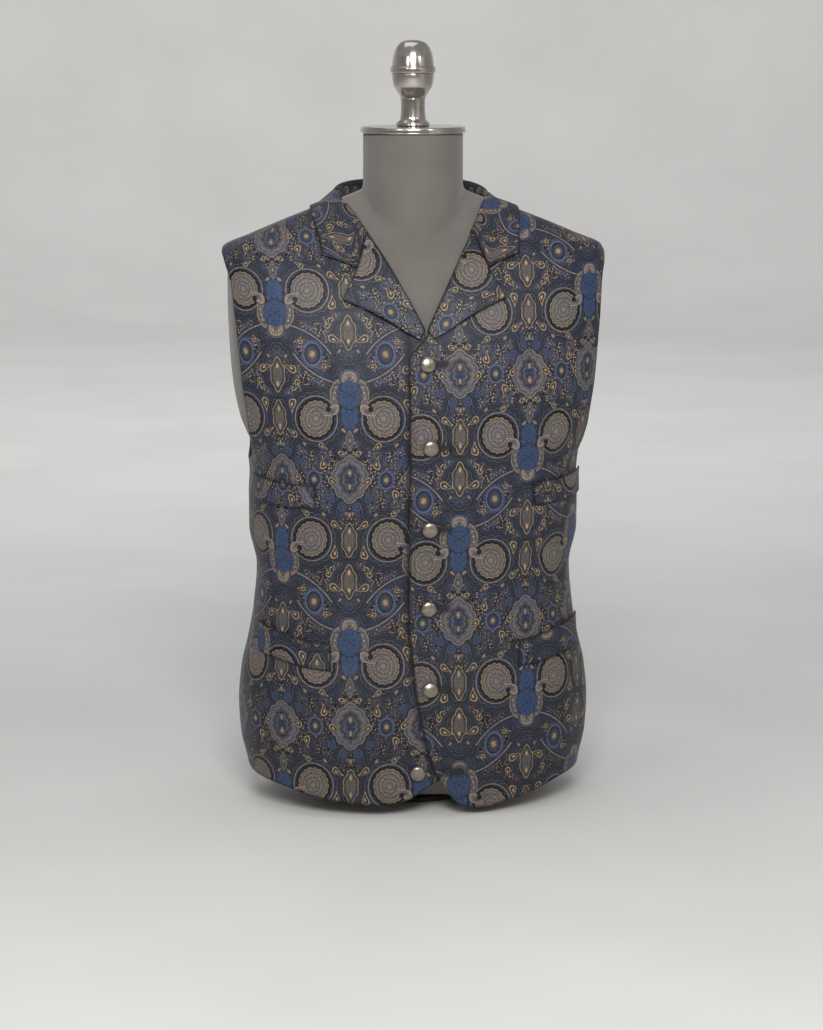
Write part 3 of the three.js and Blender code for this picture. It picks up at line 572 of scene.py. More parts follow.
RISE_HEIGHTS = np.linspace(-20, 690, 356)
RISE_DEPTHS = front_at(RISE_HEIGHTS)
RISE_STEPS = np.hypot(np.diff(RISE_HEIGHTS), np.diff(RISE_DEPTHS))
RISE_LENGTHS = np.concatenate([[0], np.cumsum(RISE_STEPS)]) + RISE_HEIGHTS[0]


def distance_up(z):
    """Distance up the front's middle, measured on the cloth."""
    return np.interp(z, RISE_HEIGHTS, RISE_LENGTHS)


# Meshes
EDGE_STEPS = np.array([0, 0.12, 0.4, 0.9, 1.8])


def close_at_ends(count, length):
    """Shares from 0 to 1, close together at both ends so that the cloth's edge is rounded."""
    near = EDGE_STEPS / length
    middle = np.linspace(near[-1], 1 - near[-1], count)
    return np.concatenate([near[:-1], middle, 1 - near[:-1][::-1]])


def half_thickness(distance, thickness):
    """Half of the cloth's thickness this far inside its rounded edge."""
    radius = thickness / 2
    inward = 1 - clamp01(distance / radius)
    return radius * np.maximum(np.sqrt(1 - inward**2), 0.12)


def place_in_scene(name, data):
    made = bpy.data.objects.new(name, data)
    bpy.context.scene.collection.objects.link(made)
    return made


def make_mesh(name, points, faces, smooth=True):
    """A mesh from points in millimetres."""
    data = bpy.data.meshes.new(name)
    data.from_pydata((np.asarray(points) * MM).tolist(), [], faces)
    if smooth:
        data.shade_smooth()
    return place_in_scene(name, data)


def ring_faces(rows, steps):
    """The faces between rings of points, listed ring by ring from the lowest."""
    faces = []
    for low in range(0, (rows - 1) * steps, steps):
        for k in range(steps):
            after = (k + 1) % steps
            faces.append((low + k, low + after, low + steps + after, low + steps + k))
    return faces


def closed_rings(name, rings, low, high):
    """A closed body from rings of points and the heights of its two ends on the axis."""
    rings = np.array(rings)
    rows, steps = rings.shape[:2]
    last = (rows - 1) * steps
    faces = ring_faces(rows, steps)
    for k in range(steps):
        after = (k + 1) % steps
        faces.append((rows * steps, after, k))
        faces.append((rows * steps + 1, last + k, last + after))
    points = np.concatenate([rings.reshape(-1, 3), [(0, 0, low), (0, 0, high)]])
    return make_mesh(name, points, faces)


def turns(steps):
    """Angles of evenly spaced points round a circle."""
    return np.arange(steps) * math.tau / steps


def shell(name, outer, inner, coordinates, border):
    """A closed piece of cloth from two grids of points, with its cloth coordinates and the
    distance from its edge at each point, from which the brocade paints shade near the edge."""
    rows, columns = outer.shape[:2]
    count = rows * columns
    grid = np.arange(count).reshape(rows, columns)
    a, b, c, d = grid[:-1, :-1], grid[:-1, 1:], grid[1:, 1:], grid[1:, :-1]
    face = np.stack([a, b, c, d], axis=-1).reshape(-1, 4)
    rim = np.concatenate([grid[0, :-1], grid[:-1, -1], grid[-1, :0:-1], grid[:0:-1, 0]])
    after = np.roll(rim, -1)
    sides = np.stack([after, rim, rim + count, after + count], axis=-1)
    faces = np.concatenate([face, face[:, ::-1] + count, sides])
    points = np.concatenate([outer.reshape(-1, 3), inner.reshape(-1, 3)])
    tri = np.concatenate([faces[:, [0, 1, 2]], faces[:, [0, 2, 3]]])
    p, q, r = (points[tri[:, k]] for k in range(3))
    if (p * np.cross(q, r)).sum() < 0:
        faces = faces[:, ::-1]
    made = make_mesh(name, points, faces.tolist())
    flat = np.zeros((2 * count, 3), np.float32)
    flat[:, :2] = np.tile(coordinates.reshape(-1, 2), (2, 1))
    made.data.attributes.new("cloth", "FLOAT_VECTOR", "POINT").data.foreach_set("vector", flat.ravel())
    # The brocade paints shade where this distance is small
    edge = np.tile(border.reshape(-1), 2).astype(np.float32)
    made.data.attributes.new("edge", "FLOAT", "POINT").data.foreach_set("value", edge)
    return made


def body_cloth(name, place, us, vs, spans, lift, thickness, coordinates, slits=(), under_edge=None):
    """A piece of cloth on the body. spans are its width and length, for rounding its edges.
    slits are centres of buttonholes, as across and up, with their length; shade is painted
    round each. under_edge holds the rows of another piece's edge, whose shadow is painted on this one."""
    v, u = np.meshgrid(vs, us, indexing="ij")
    angle, z = place(u, v)
    border = np.minimum(np.minimum(u, 1 - u) * spans[0], np.minimum(v, 1 - v) * spans[1])
    half = half_thickness(border, thickness)
    centre = lift(u, v, angle, z) - thickness / 2
    outer = skin_point(angle, z, centre + half)
    inner = skin_point(angle, z, centre - half)
    place_on_cloth = coordinates(u, v, angle, z)
    # Painted shade along and round each buttonhole's slit
    for across, up, length in slits:
        beside = np.maximum(np.abs(body_point(angle, z)[..., 0] - across) - length / 2, 0)
        border = np.minimum(border, 0.5 * np.maximum(np.hypot(beside, z - up) - 1.3, 0))
    # Painted shadow: the cloth is darkened beside another piece's edge that lies over it
    if under_edge:
        edge = np.interp(z, [row[1] for row in under_edge], [row[0] for row in under_edge])
        border = np.minimum(border, 0.5 * np.abs(body_point(angle, z)[..., 0] - edge) + 0.2)
    return shell(name, outer, inner, place_on_cloth, border)


def side_name(side):
    return "left" if side > 0 else "right"


def buttonhole_places(sizes):
    """The middle of each buttonhole, across and up; the last one is open."""
    reach = BUTTONHOLE_START + sizes.buttonhole / MM / 2
    return [(x + reach, z) for x, z, _ in BUTTONS[:-1]] + [OPEN_BUTTONHOLE]


def started(start, across, up):
    return np.stack([across - start[0], up - start[1]], axis=-1)


def underlap(angle, z):
    share = (body_point(angle, z)[..., 0] - UNDERLAP_FADE[0]) / (UNDERLAP_FADE[1] - UNDERLAP_FADE[0])
    return -UNDERLAP_DROP * smooth(share)


def stitch_dent(distance, inset):
    """The small trough that a row of topstitching pulls into the cloth, and the ridge beside it."""
    trough = -0.32 * np.exp(-(((distance - inset) / 1.3) ** 2))
    return trough + 0.14 * np.exp(-(((distance - inset / 2) / 1.6) ** 2))


def stitches(name, points, normals, sizes):
    """A run of separate stitches along a line of points on the cloth."""
    steps = np.linalg.norm(np.diff(points, axis=0), axis=1)
    along = np.concatenate([[0], np.cumsum(steps)])
    length, gap = sizes.stitch_length / MM, sizes.stitch_gap / MM
    starts = np.arange(gap, along[-1] - length, length + gap)

    def along_line(values, places):
        return np.stack([np.interp(places, along, values[:, k]) for k in range(3)], axis=-1)

    at, to = along_line(points, starts), along_line(points, starts + length)
    return beads(name, at, to, unit(along_line(normals, starts)), sizes.thread / MM / 2)


def beads(name, starts, ends, ups, radius):
    """Short rounded threads, each from a start to an end, sunk a little at both."""
    rings = np.linspace(0, 1, STITCH_SIDES)
    forward = ends - starts
    reach = np.linalg.norm(forward, axis=1, keepdims=True)
    forward = forward / np.maximum(reach, 1e-9)
    across = unit(np.cross(forward, ups))
    ups = np.cross(across, forward)
    points = []
    for t in rings:
        swell = math.sin(math.pi * (0.06 + 0.88 * t)) ** 0.45
        lift = radius * (swell * (1 + THREAD_SINK) - THREAD_SINK - 0.15)
        middle = starts + forward * reach * t + ups * lift
        # This way round, the faces look outwards
        for s in -turns(STITCH_SIDES):
            points.append(middle + (across * math.cos(s) + ups * math.sin(s)) * radius * swell)
    points = np.stack(points, axis=1)
    count = len(rings) * STITCH_SIDES
    one = ring_faces(len(rings), STITCH_SIDES)
    one.append(tuple(reversed(range(STITCH_SIDES))))
    one.append(tuple(range(count - STITCH_SIDES, count)))
    faces = [tuple(i + n * count for i in face) for n in range(len(starts)) for face in one]
    return make_mesh(name, points.reshape(-1, 3), faces)


def turned_mesh(name, profile, steps):
    """A round body from (radius, height) rows, closed on its axis at both ends."""
    angles = turns(steps)
    ring = np.stack([np.cos(angles), np.sin(angles), np.zeros(steps)], axis=-1)
    rings = [ring * radius + (0, 0, height) for radius, height in profile[1:-1]]
    return closed_rings(name, rings, profile[0][1], profile[-1][1])


def rounded(profile, per_row=6):
    """A finer profile through the same rows; a row given twice keeps a sharp corner."""
    rows, runs = [profile[0]], []
    for row in profile[1:]:
        if row == rows[-1]:
            runs.append(rows)
            rows = [row]
        else:
            rows.append(row)
    runs.append(rows)
    fine = []
    for run in runs:
        if len(run) == 1:
            fine.append(run[0])
            continue
        curve = Curve([(r, h, 0) for r, h in run])
        line = curve.by_share(np.linspace(0, 1, per_row * (len(run) - 1) + 1))
        fine.extend((max(r, 0), h) for r, h, _ in line)
    return fine


# Materials
class Finish:
    """A material built from nodes, one call for each node."""

    def __init__(self, name):
        self.material = bpy.data.materials.new(name)
        self.material.use_nodes = True
        self.tree = self.material.node_tree
        self.tree.nodes.clear()

    def add(self, kind, **settings):
        node = self.tree.nodes.new(kind)
        for key, value in settings.items():
            setattr(node, key, value)
        return node

    def feed(self, socket, value):
        if isinstance(value, bpy.types.NodeSocket):
            self.tree.links.new(value, socket)
        elif value is not None:
            wide = hasattr(value, "__len__") and socket.type == "RGBA" and len(value) == 3
            socket.default_value = (*value, 1) if wide else value

    def math(self, operation, a, b=None, c=None):
        node = self.add("ShaderNodeMath", operation=operation)
        for socket, value in zip(node.inputs, (a, b, c)):
            self.feed(socket, value)
        return node.outputs[0]

    def vector(self, operation, a, b=None):
        node = self.add("ShaderNodeVectorMath", operation=operation)
        for socket, value in zip(node.inputs, (a, b)):
            self.feed(socket, value)
        return node.outputs["Value" if operation == "LENGTH" else "Vector"]

    def join(self, x, y, z=0.0):
        node = self.add("ShaderNodeCombineXYZ")
        for socket, value in zip(node.inputs, (x, y, z)):
            self.feed(socket, value)
        return node.outputs[0]

    def split(self, vector):
        node = self.add("ShaderNodeSeparateXYZ")
        self.feed(node.inputs[0], vector)
        return node.outputs

    def ramp(self, value, stops):
        """Stops are (place, colour, cover); gives the colour and how far it covers what is below."""
        node = self.add("ShaderNodeValToRGB")
        self.feed(node.inputs[0], value)
        elements = node.color_ramp.elements
        while len(elements) < len(stops):
            elements.new(0.5)
        for element, (place, rgb, cover) in zip(elements, stops):
            element.position = place
            element.color = (*rgb, cover)
        return node.outputs["Color"], node.outputs["Alpha"]

    def mix(self, share, a, b, blend="MIX"):
        node = self.add("ShaderNodeMix", data_type="RGBA", blend_type=blend)
        self.feed(node.inputs[0], share)
        self.feed(node.inputs[6], a)
        self.feed(node.inputs[7], b)
        return node.outputs[2]

    def noise(self, vector, scale, detail=2.0, roughness=0.5, distortion=0.0):
        node = self.add("ShaderNodeTexNoise")
        self.feed(node.inputs["Vector"], vector)
        node.inputs["Scale"].default_value = scale
        node.inputs["Detail"].default_value = detail
        node.inputs["Roughness"].default_value = roughness
        node.inputs["Distortion"].default_value = distortion
        return node.outputs["Fac"]

    def cells(self, vector, scale, randomness=1.0):
        node = self.add("ShaderNodeTexVoronoi", voronoi_dimensions="2D")
        self.feed(node.inputs["Vector"], vector)
        node.inputs["Scale"].default_value = scale
        node.inputs["Randomness"].default_value = randomness
        return node.outputs["Distance"]

    def wave(self, vector, scale, direction, distortion=0.0):
        node = self.add("ShaderNodeTexWave", bands_direction=direction)
        self.feed(node.inputs["Vector"], vector)
        node.inputs["Scale"].default_value = scale
        node.inputs["Distortion"].default_value = distortion
        return node.outputs["Fac"]

    def bump(self, height, distance, strength=1.0):
        node = self.add("ShaderNodeBump")
        self.feed(node.inputs["Height"], height)
        node.inputs["Distance"].default_value = distance
        node.inputs["Strength"].default_value = strength
        return node.outputs["Normal"]

    def uneven(self, place, stretch, depth, normal):
        """Soft unevenness of hanging cloth, added to a bump, with its depth in metres."""
        node = self.add("ShaderNodeBump")
        swell = self.noise(self.vector("MULTIPLY", place, stretch), 1.0, 2.0, 0.45, 0.4)
        self.feed(node.inputs["Height"], swell)
        self.feed(node.inputs["Normal"], normal)
        node.inputs["Distance"].default_value = depth
        return node.outputs["Normal"]

    def attribute(self, name):
        return self.add("ShaderNodeAttribute", attribute_name=name).outputs["Vector"]

    def scalar(self, name):
        return self.add("ShaderNodeAttribute", attribute_name=name).outputs["Fac"]

    def place(self):
        return self.add("ShaderNodeTexCoord").outputs["Object"]

    def cloudy(self, value, rgb, dark, bright):
        """A colour that varies softly between a darker and a brighter shade."""
        return self.ramp(value, [(0.3, shade(rgb, dark), 1), (0.7, shade(rgb, bright), 1)])[0]

    def multiply(self, base, tone):
        return self.mix(1.0, base, tone, "MULTIPLY")

    def finish(self, base, rough, normal, **constants):
        shader = self.add("ShaderNodeBsdfPrincipled")
        self.feed(shader.inputs["Base Color"], base)
        self.feed(shader.inputs["Roughness"], rough)
        self.feed(shader.inputs["Normal"], normal)
        for key, value in constants.items():
            shader.inputs[key.replace("_", " ")].default_value = value
        output = self.add("ShaderNodeOutputMaterial")
        self.tree.links.new(shader.outputs[0], output.inputs[0])
        return self.material


def shade(rgb, factor):
    return tuple(c * factor for c in rgb)


# How each kind of motif is coloured, from its middle outwards: share of its radius,
# colour, how bright, and how far it covers what is below
STYLES = {
    "arc": [
        (0.84, "ground", 1.0, 0), (0.85, "slate", 0.8, 0.9), (0.91, "blue", 0.42, 0.9),
        (0.93, "ground", 0.9, 1), (0.938, "taupe", 0.85, 1), (0.95, "taupe", 0.8, 1),
        (0.958, "ground", 0.8, 1), (0.975, "slate", 0.8, 0.8), (0.99, "ground", 1.0, 0),
    ],
    "oval": [
        (0.0, "gold", 0.95, 1), (0.14, "gold", 0.8, 1), (0.34, "brown", 1.2, 1), (0.52, "slate", 1.0, 1),
        (0.74, "ground", 0.8, 1), (0.82, "blue", 1.2, 1), (0.92, "outline", 0.85, 1),
        (0.98, "ground", 0.7, 1), (1.06, "outline", 0.6, 0.9), (1.12, "ground", 1.0, 0),
    ],
    "rings": [
        (0.66, "ground", 0.5, 1), (0.745, "ground", 0.5, 1), (0.765, "blue", 0.9, 1),
        (0.83, "blue", 0.8, 1), (0.85, "ground", 0.9, 1), (0.872, "slate", 1.1, 1),
        (0.9, "ground", 0.8, 1), (0.93, "taupe", 0.85, 1), (0.95, "taupe", 0.8, 1),
        (0.97, "ground", 0.8, 1), (1.0, "slate", 1.0, 0.9), (1.05, "ground", 1.0, 0),
    ],
    "face": [
        (0.0, "taupe", 0.72, 1), (0.12, "taupe", 0.66, 1), (0.17, "brown", 0.95, 1),
        (0.22, "taupe", 0.66, 1), (0.36, "taupe", 0.56, 1), (0.42, "brown", 0.85, 1),
        (0.47, "taupe", 0.7, 1), (0.62, "taupe", 0.52, 1), (0.68, "brown", 0.85, 1),
        (0.73, "taupe", 0.7, 1), (0.86, "taupe", 0.5, 1), (0.91, "brown", 0.8, 1),
        (0.94, "gold", 0.74, 1), (0.97, "gold", 0.66, 1), (1.0, "ground", 0.4, 1),
        (1.14, "ground", 0.4, 1), (1.18, "ground", 1.0, 0),
    ],
    "halo": [
        (0.5, "ground", 1.0, 0), (0.56, "slate", 0.9, 0.9), (0.64, "slate", 0.8, 0.9),
        (0.655, "outline", 0.5, 1), (0.67, "ground", 0.9, 1), (0.72, "blue", 0.45, 1),
        (0.755, "ground", 1.0, 1), (0.77, "taupe", 0.6, 1), (0.785, "ground", 0.8, 1),
        (0.87, "slate", 0.7, 1), (0.93, "ground", 0.9, 1), (0.945, "outline", 0.55, 1),
        (0.96, "ground", 0.6, 1), (1.0, "ground", 1.0, 0),
    ],
    "scroll": [
        (0.0, "taupe", 0.36, 1), (0.4, "taupe", 0.5, 1), (0.66, "slate", 1.3, 1), (0.8, "taupe", 0.6, 1),
        (0.92, "gold", 0.62, 1), (0.98, "ground", 0.7, 1), (1.08, "ground", 1.0, 0),
    ],
    "hook": [
        (0.0, "slate", 1.0, 1), (0.5, "taupe", 0.6, 1), (0.78, "taupe", 0.75, 1), (0.86, "gold", 0.9, 1),
        (0.96, "gold", 0.8, 1), (1.03, "ground", 0.5, 1), (1.14, "ground", 1.0, 0),
    ],
    "curl": [(0.0, "ground", 0.5, 1), (0.8, "ground", 0.6, 1), (1.05, "ground", 1.0, 0)],
    "palmette": [
        (0.0, "blue", 0.5, 1), (0.22, "blue", 1.0, 1), (0.45, "blue", 0.72, 1), (0.66, "blue", 1.05, 1),
        (0.84, "blue", 0.75, 1), (0.96, "blue", 1.0, 1), (1.02, "ground", 0.6, 0.8),
        (1.12, "ground", 1.0, 0),
    ],
    "moon": [
        (0.0, "brown", 1.4, 1), (0.5, "taupe", 0.7, 1), (0.66, "taupe", 0.8, 1), (0.74, "gold", 0.8, 1),
        (0.82, "ground", 0.8, 1), (0.9, "outline", 0.65, 1), (0.98, "slate", 0.9, 1),
        (1.06, "ground", 1.0, 0),
    ],
    "leaf": [
        (0.0, "slate", 1.0, 1), (0.62, "slate", 1.3, 1), (0.82, "taupe", 0.5, 1), (0.9, "slate", 0.9, 1),
        (0.95, "taupe", 0.85, 1), (1.0, "ground", 0.6, 0.8), (1.05, "ground", 1.0, 0),
    ],
    "big_leaf": [
        (0.0, "slate", 1.0, 1), (0.4, "blue", 0.55, 1), (0.5, "slate", 1.3, 1), (0.56, "taupe", 0.5, 1),
        (0.6, "ground", 1.2, 1), (0.66, "slate", 1.2, 1), (0.74, "taupe", 0.42, 1),
        (0.82, "taupe", 0.6, 1), (0.9, "slate", 1.2, 1), (0.95, "taupe", 0.6, 1),
        (0.975, "taupe", 0.75, 1), (1.0, "ground", 0.7, 1), (1.04, "ground", 1.0, 0),
    ],
    "petal": [
        (0.0, "gold", 0.9, 1), (0.45, "taupe", 0.7, 1), (0.8, "brown", 1.0, 1), (1.0, "ground", 0.6, 0.9),
        (1.15, "ground", 1.0, 0),
    ],
    "disc": [
        (0.0, "gold", 0.6, 1), (0.16, "blue", 0.6, 1), (0.6, "slate", 1.0, 1), (0.78, "blue", 0.9, 1),
        (0.94, "outline", 0.45, 1), (1.05, "ground", 0.7, 0.8), (1.16, "ground", 1.0, 0),
    ],
    "bud": [
        (0.0, "gold", 1.0, 1), (0.26, "gold", 0.85, 1), (0.36, "ground", 0.8, 1), (0.52, "brown", 1.1, 1),
        (0.68, "ground", 0.8, 1), (0.76, "gold", 0.9, 1), (0.92, "gold", 0.75, 1),
        (1.02, "ground", 0.6, 0.8), (1.18, "ground", 1.0, 0),
    ],
    "cartouche": [
        (0.0, "brown", 1.3, 1), (0.72, "taupe", 0.42, 1), (0.82, "brown", 1.0, 1),
        (0.88, "ground", 0.9, 1), (0.91, "taupe", 0.8, 1), (0.95, "gold", 0.6, 1),
        (0.985, "ground", 0.6, 1), (1.05, "ground", 1.0, 0),
    ],
    "dot": [(0.0, "gold", 1.1, 1), (0.7, "gold", 0.9, 1), (1.1, "ground", 1.0, 0)],
}
# The same for the ground, by the value of its noise or its distance from a seed
GROUND = {
    "field": [
        (0.0, "ground", 0.34, 1), (0.49, "ground", 0.4, 1), (0.497, "outline", 0.6, 1),
        (0.503, "ground", 0.8, 1), (0.511, "slate", 0.9, 1), (0.52, "blue", 0.5, 1),
        (0.527, "taupe", 0.62, 1), (0.534, "ground", 1.1, 1), (0.548, "slate", 1.0, 1),
        (0.572, "slate", 0.9, 1), (0.58, "outline", 0.55, 1), (0.588, "ground", 1.0, 1),
        (0.64, "slate", 0.8, 1), (1.0, "blue", 0.6, 1),
    ],
    "echo": [
        (0.0, "ground", 0.8, 0), (0.1, "ground", 0.7, 0.6), (0.18, "outline", 0.5, 0.7),
        (0.26, "taupe", 0.42, 0.6), (0.34, "ground", 0.8, 0.5), (0.5, "ground", 1.0, 0),
    ],
    "stem": [(0.0, "taupe", 0.7, 0.9), (0.01, "brown", 1.0, 0.7), (0.022, "ground", 1.0, 0.0)],
    "cell": [
        (0.0, "gold", 0.8, 1), (0.07, "brown", 1.1, 1), (0.13, "ground", 0.9, 1),
        (0.18, "outline", 0.5, 1), (0.22, "slate", 0.8, 1), (0.27, "ground", 0.8, 0.8),
        (0.32, "ground", 1.0, 0),
    ],
    "seed": [
        (0.0, "gold", 1.1, 1), (0.14, "gold", 0.9, 1), (0.22, "ground", 0.6, 0.6),
        (0.4, "ground", 0.7, 0),
    ],
    "small_seed": [(0.0, "outline", 1.1, 1), (0.16, "taupe", 0.8, 1), (0.24, "ground", 0.6, 0)],
}
# Share of the noise up to which the ground is dark and sown with large or small seeds
SOWN = {"seed": 0.495, "small_seed": 0.53}
# Painted light and shade by height, in metres: darker at the hem and shoulders, brighter at the chest
GROUND_SHADE_BY_HEIGHT = [
    (0.0, (0.62, 0.62, 0.64), 1), (0.2, (0.86, 0.86, 0.88), 1), (0.4, (1.1, 1.1, 1.1), 1),
    (0.56, (1.12, 1.12, 1.12), 1), (0.68, (0.66, 0.66, 0.68), 1),
]
CLOTH_SHADE_BY_HEIGHT = [
    (0.0, (0.84, 0.83, 0.82), 1), (0.24, (0.94, 0.94, 0.94), 1), (0.4, (1.03, 1.03, 1.04), 1),
    (0.58, (1.03, 1.03, 1.04), 1), (0.7, (0.88, 0.87, 0.87), 1),
]
VEIN_TONES = [(0.0, (0.52, 0.54, 0.6), 1), (0.016, (0.68, 0.7, 0.74), 1), (0.034, (1, 1, 1), 1)]
MOTTLE_TONES = [(0.34, (0.62, 0.66, 0.74), 1), (0.5, (0.98, 0.98, 0.98), 1), (0.66, (1.42, 1.34, 1.26), 1)]
DYE_TONES = [
    (0.3, (0.9, 1.0, 1.0), 1), (0.42, (0.96, 0.92, 1.04), 1), (0.5, (0.93, 0.98, 0.94), 1),
    (0.62, (1.1, 1.0, 1.0), 1), (0.72, (0.9, 0.94, 1.1), 1),
]
THREAD_TONES = [(0.3, (0.76, 0.76, 0.78), 1), (0.7, (1.2, 1.19, 1.18), 1)]
# Painted shade near a piece's edge, by the distance from it in centimetres
EDGE_SHADE_TONES = [
    (0.0, (0.2, 0.2, 0.22), 1), (0.1, (0.32, 0.32, 0.34), 1), (0.2, (0.7, 0.7, 0.7), 1),
    (0.4, (1, 1, 1), 1),
]
# How many radii a motif's ramp runs to
RAMP_REACH = 1.25
# Motifs, the lowest layer first. Those of a column's own axis are placed by distance from
# it and down it; those between two columns are drawn once and turned about the middle:
# place, where, radii, turn in degrees, style, scallops, bend
MOTIFS = [
    ("column", (-4, 8), (30, 27), 0, "halo", 14, 0),
    ("column", (-6, 78), (25, 21), 0, "halo", 12, 0),
    ("column", (-8, 166), (30, 46), 0, "halo", 16, 0),
    ("column", (-6, -34), (27, 31), 0, "halo", 14, 0),
    ("between", (36, 48), (33, 35), 0, "halo", 18, 0),
    ("between", (0, -60), (75, 75), 0, "arc", 0, 0),
    ("between", (39, -21), (10.8, 14), 0, "oval", 0, 0),
    ("between", (39, 114), (8.4, 10.4), 0, "oval", 0, 0),
    ("between", (36, 48), (24.5, 26), 0, "rings", 0, 0),
    ("between", (36, 48), (16.8, 18.8), -12, "face", 17, 0),
    ("column", (14.4, 23), (8, 19), -12, "scroll", 0, 0.25),
    ("column", (14.4, 14), (1.2, 1.2), 0, "dot", 0, 0),
    ("column", (15.6, 20), (1.3, 1.3), 0, "dot", 0, 0),
    ("column", (16.4, 26), (1.3, 1.3), 0, "dot", 0, 0),
    ("column", (18.2, 40), (5.4, 9.6), -36, "hook", 0, -0.6),
    ("column", (22.6, 37.5), (3.1, 3.1), 0, "curl", 8, 0),
    ("column", (0, 44), (8.8, 15.6), 0, "palmette", 10, 0),
    ("column", (0, 22), (12, 14.6), 0, "palmette", 12, 0),
    ("column", (0, 5), (10.4, 10.4), 0, "moon", 0, 0),
    ("column", (0, 14), (8.8, 6.2), 0, "palmette", 6, 0),
    ("column", (3.4, 3.4), (1.1, 1.1), 0, "dot", 0, 0),
    ("column", (0, 2), (1.0, 1.0), 0, "dot", 0, 0),
    ("column", (-12, 71), (17, 17), 0, "leaf", 0, 0),
    ("column", (0, 71), (1.6, 4), 0, "petal", 0, 0),
    ("column", (6.5, 60), (2.6, 4.6), 50, "petal", 0, 0),
    ("column", (7.5, 86), (3, 6), 55, "bud", 0, 0.9),
    ("column", (6, 94), (2.2, 4.2), -50, "petal", 0, 0),
    ("column", (-11, 113), (30, 27), 0, "big_leaf", 14, 0),
    ("column", (0, 106), (3.6, 6), 0, "petal", 0, 0),
    ("column", (0, 121), (3, 5), 0, "petal", 0, 0),
    ("column", (8, 143), (5, 5), 0, "disc", 0, 0),
    ("column", (20.5, 134), (4.4, 5), 20, "disc", 0, 0),
    ("column", (0, 152), (2.6, 4.6), 0, "petal", 0, 0),
    ("column", (-9, 180), (17.5, 22), 0, "cartouche", 10, 0),
    ("column", (-9, -44), (17.5, 22), 0, "cartouche", 10, 0),
    ("column", (0, 170), (1.7, 3.4), 0, "dot", 0, 0),
    ("column", (0, 189), (1.9, 3.6), 0, "dot", 0, 0),
    ("column", (0, -54), (1.9, 3.6), 0, "dot", 0, 0),
    ("column", (0, -35), (1.7, 3.2), 0, "dot", 0, 0),
    ("column", (19, 116), (4, 6), 30, "bud", 0, 1.0),
    ("column", (28, 97), (4.2, 6.6), 150, "bud", 0, 1.0),
    ("column", (16, -36), (4.6, 7.4), 35, "bud", 0, 1.1),
    ("column", (23, -53), (3.6, 5.4), -155, "bud", 0, -1.0),
    ("column", (25, -7), (3.2, 5), 60, "bud", 0, 0.9),
    ("column", (16, 164), (4, 6.6), 20, "bud", 0, 1.1),
    ("column", (15, 195), (4.6, 7.2), 140, "bud", 0, 1.0),
    ("column", (30, 78), (3.4, 5.4), 24, "bud", 0, 0.9),
    ("column", (10, -24), (2, 3.4), -30, "petal", 0, 0),
    ("column", (28, 152), (2.4, 4), 40, "petal", 0, 0),
]


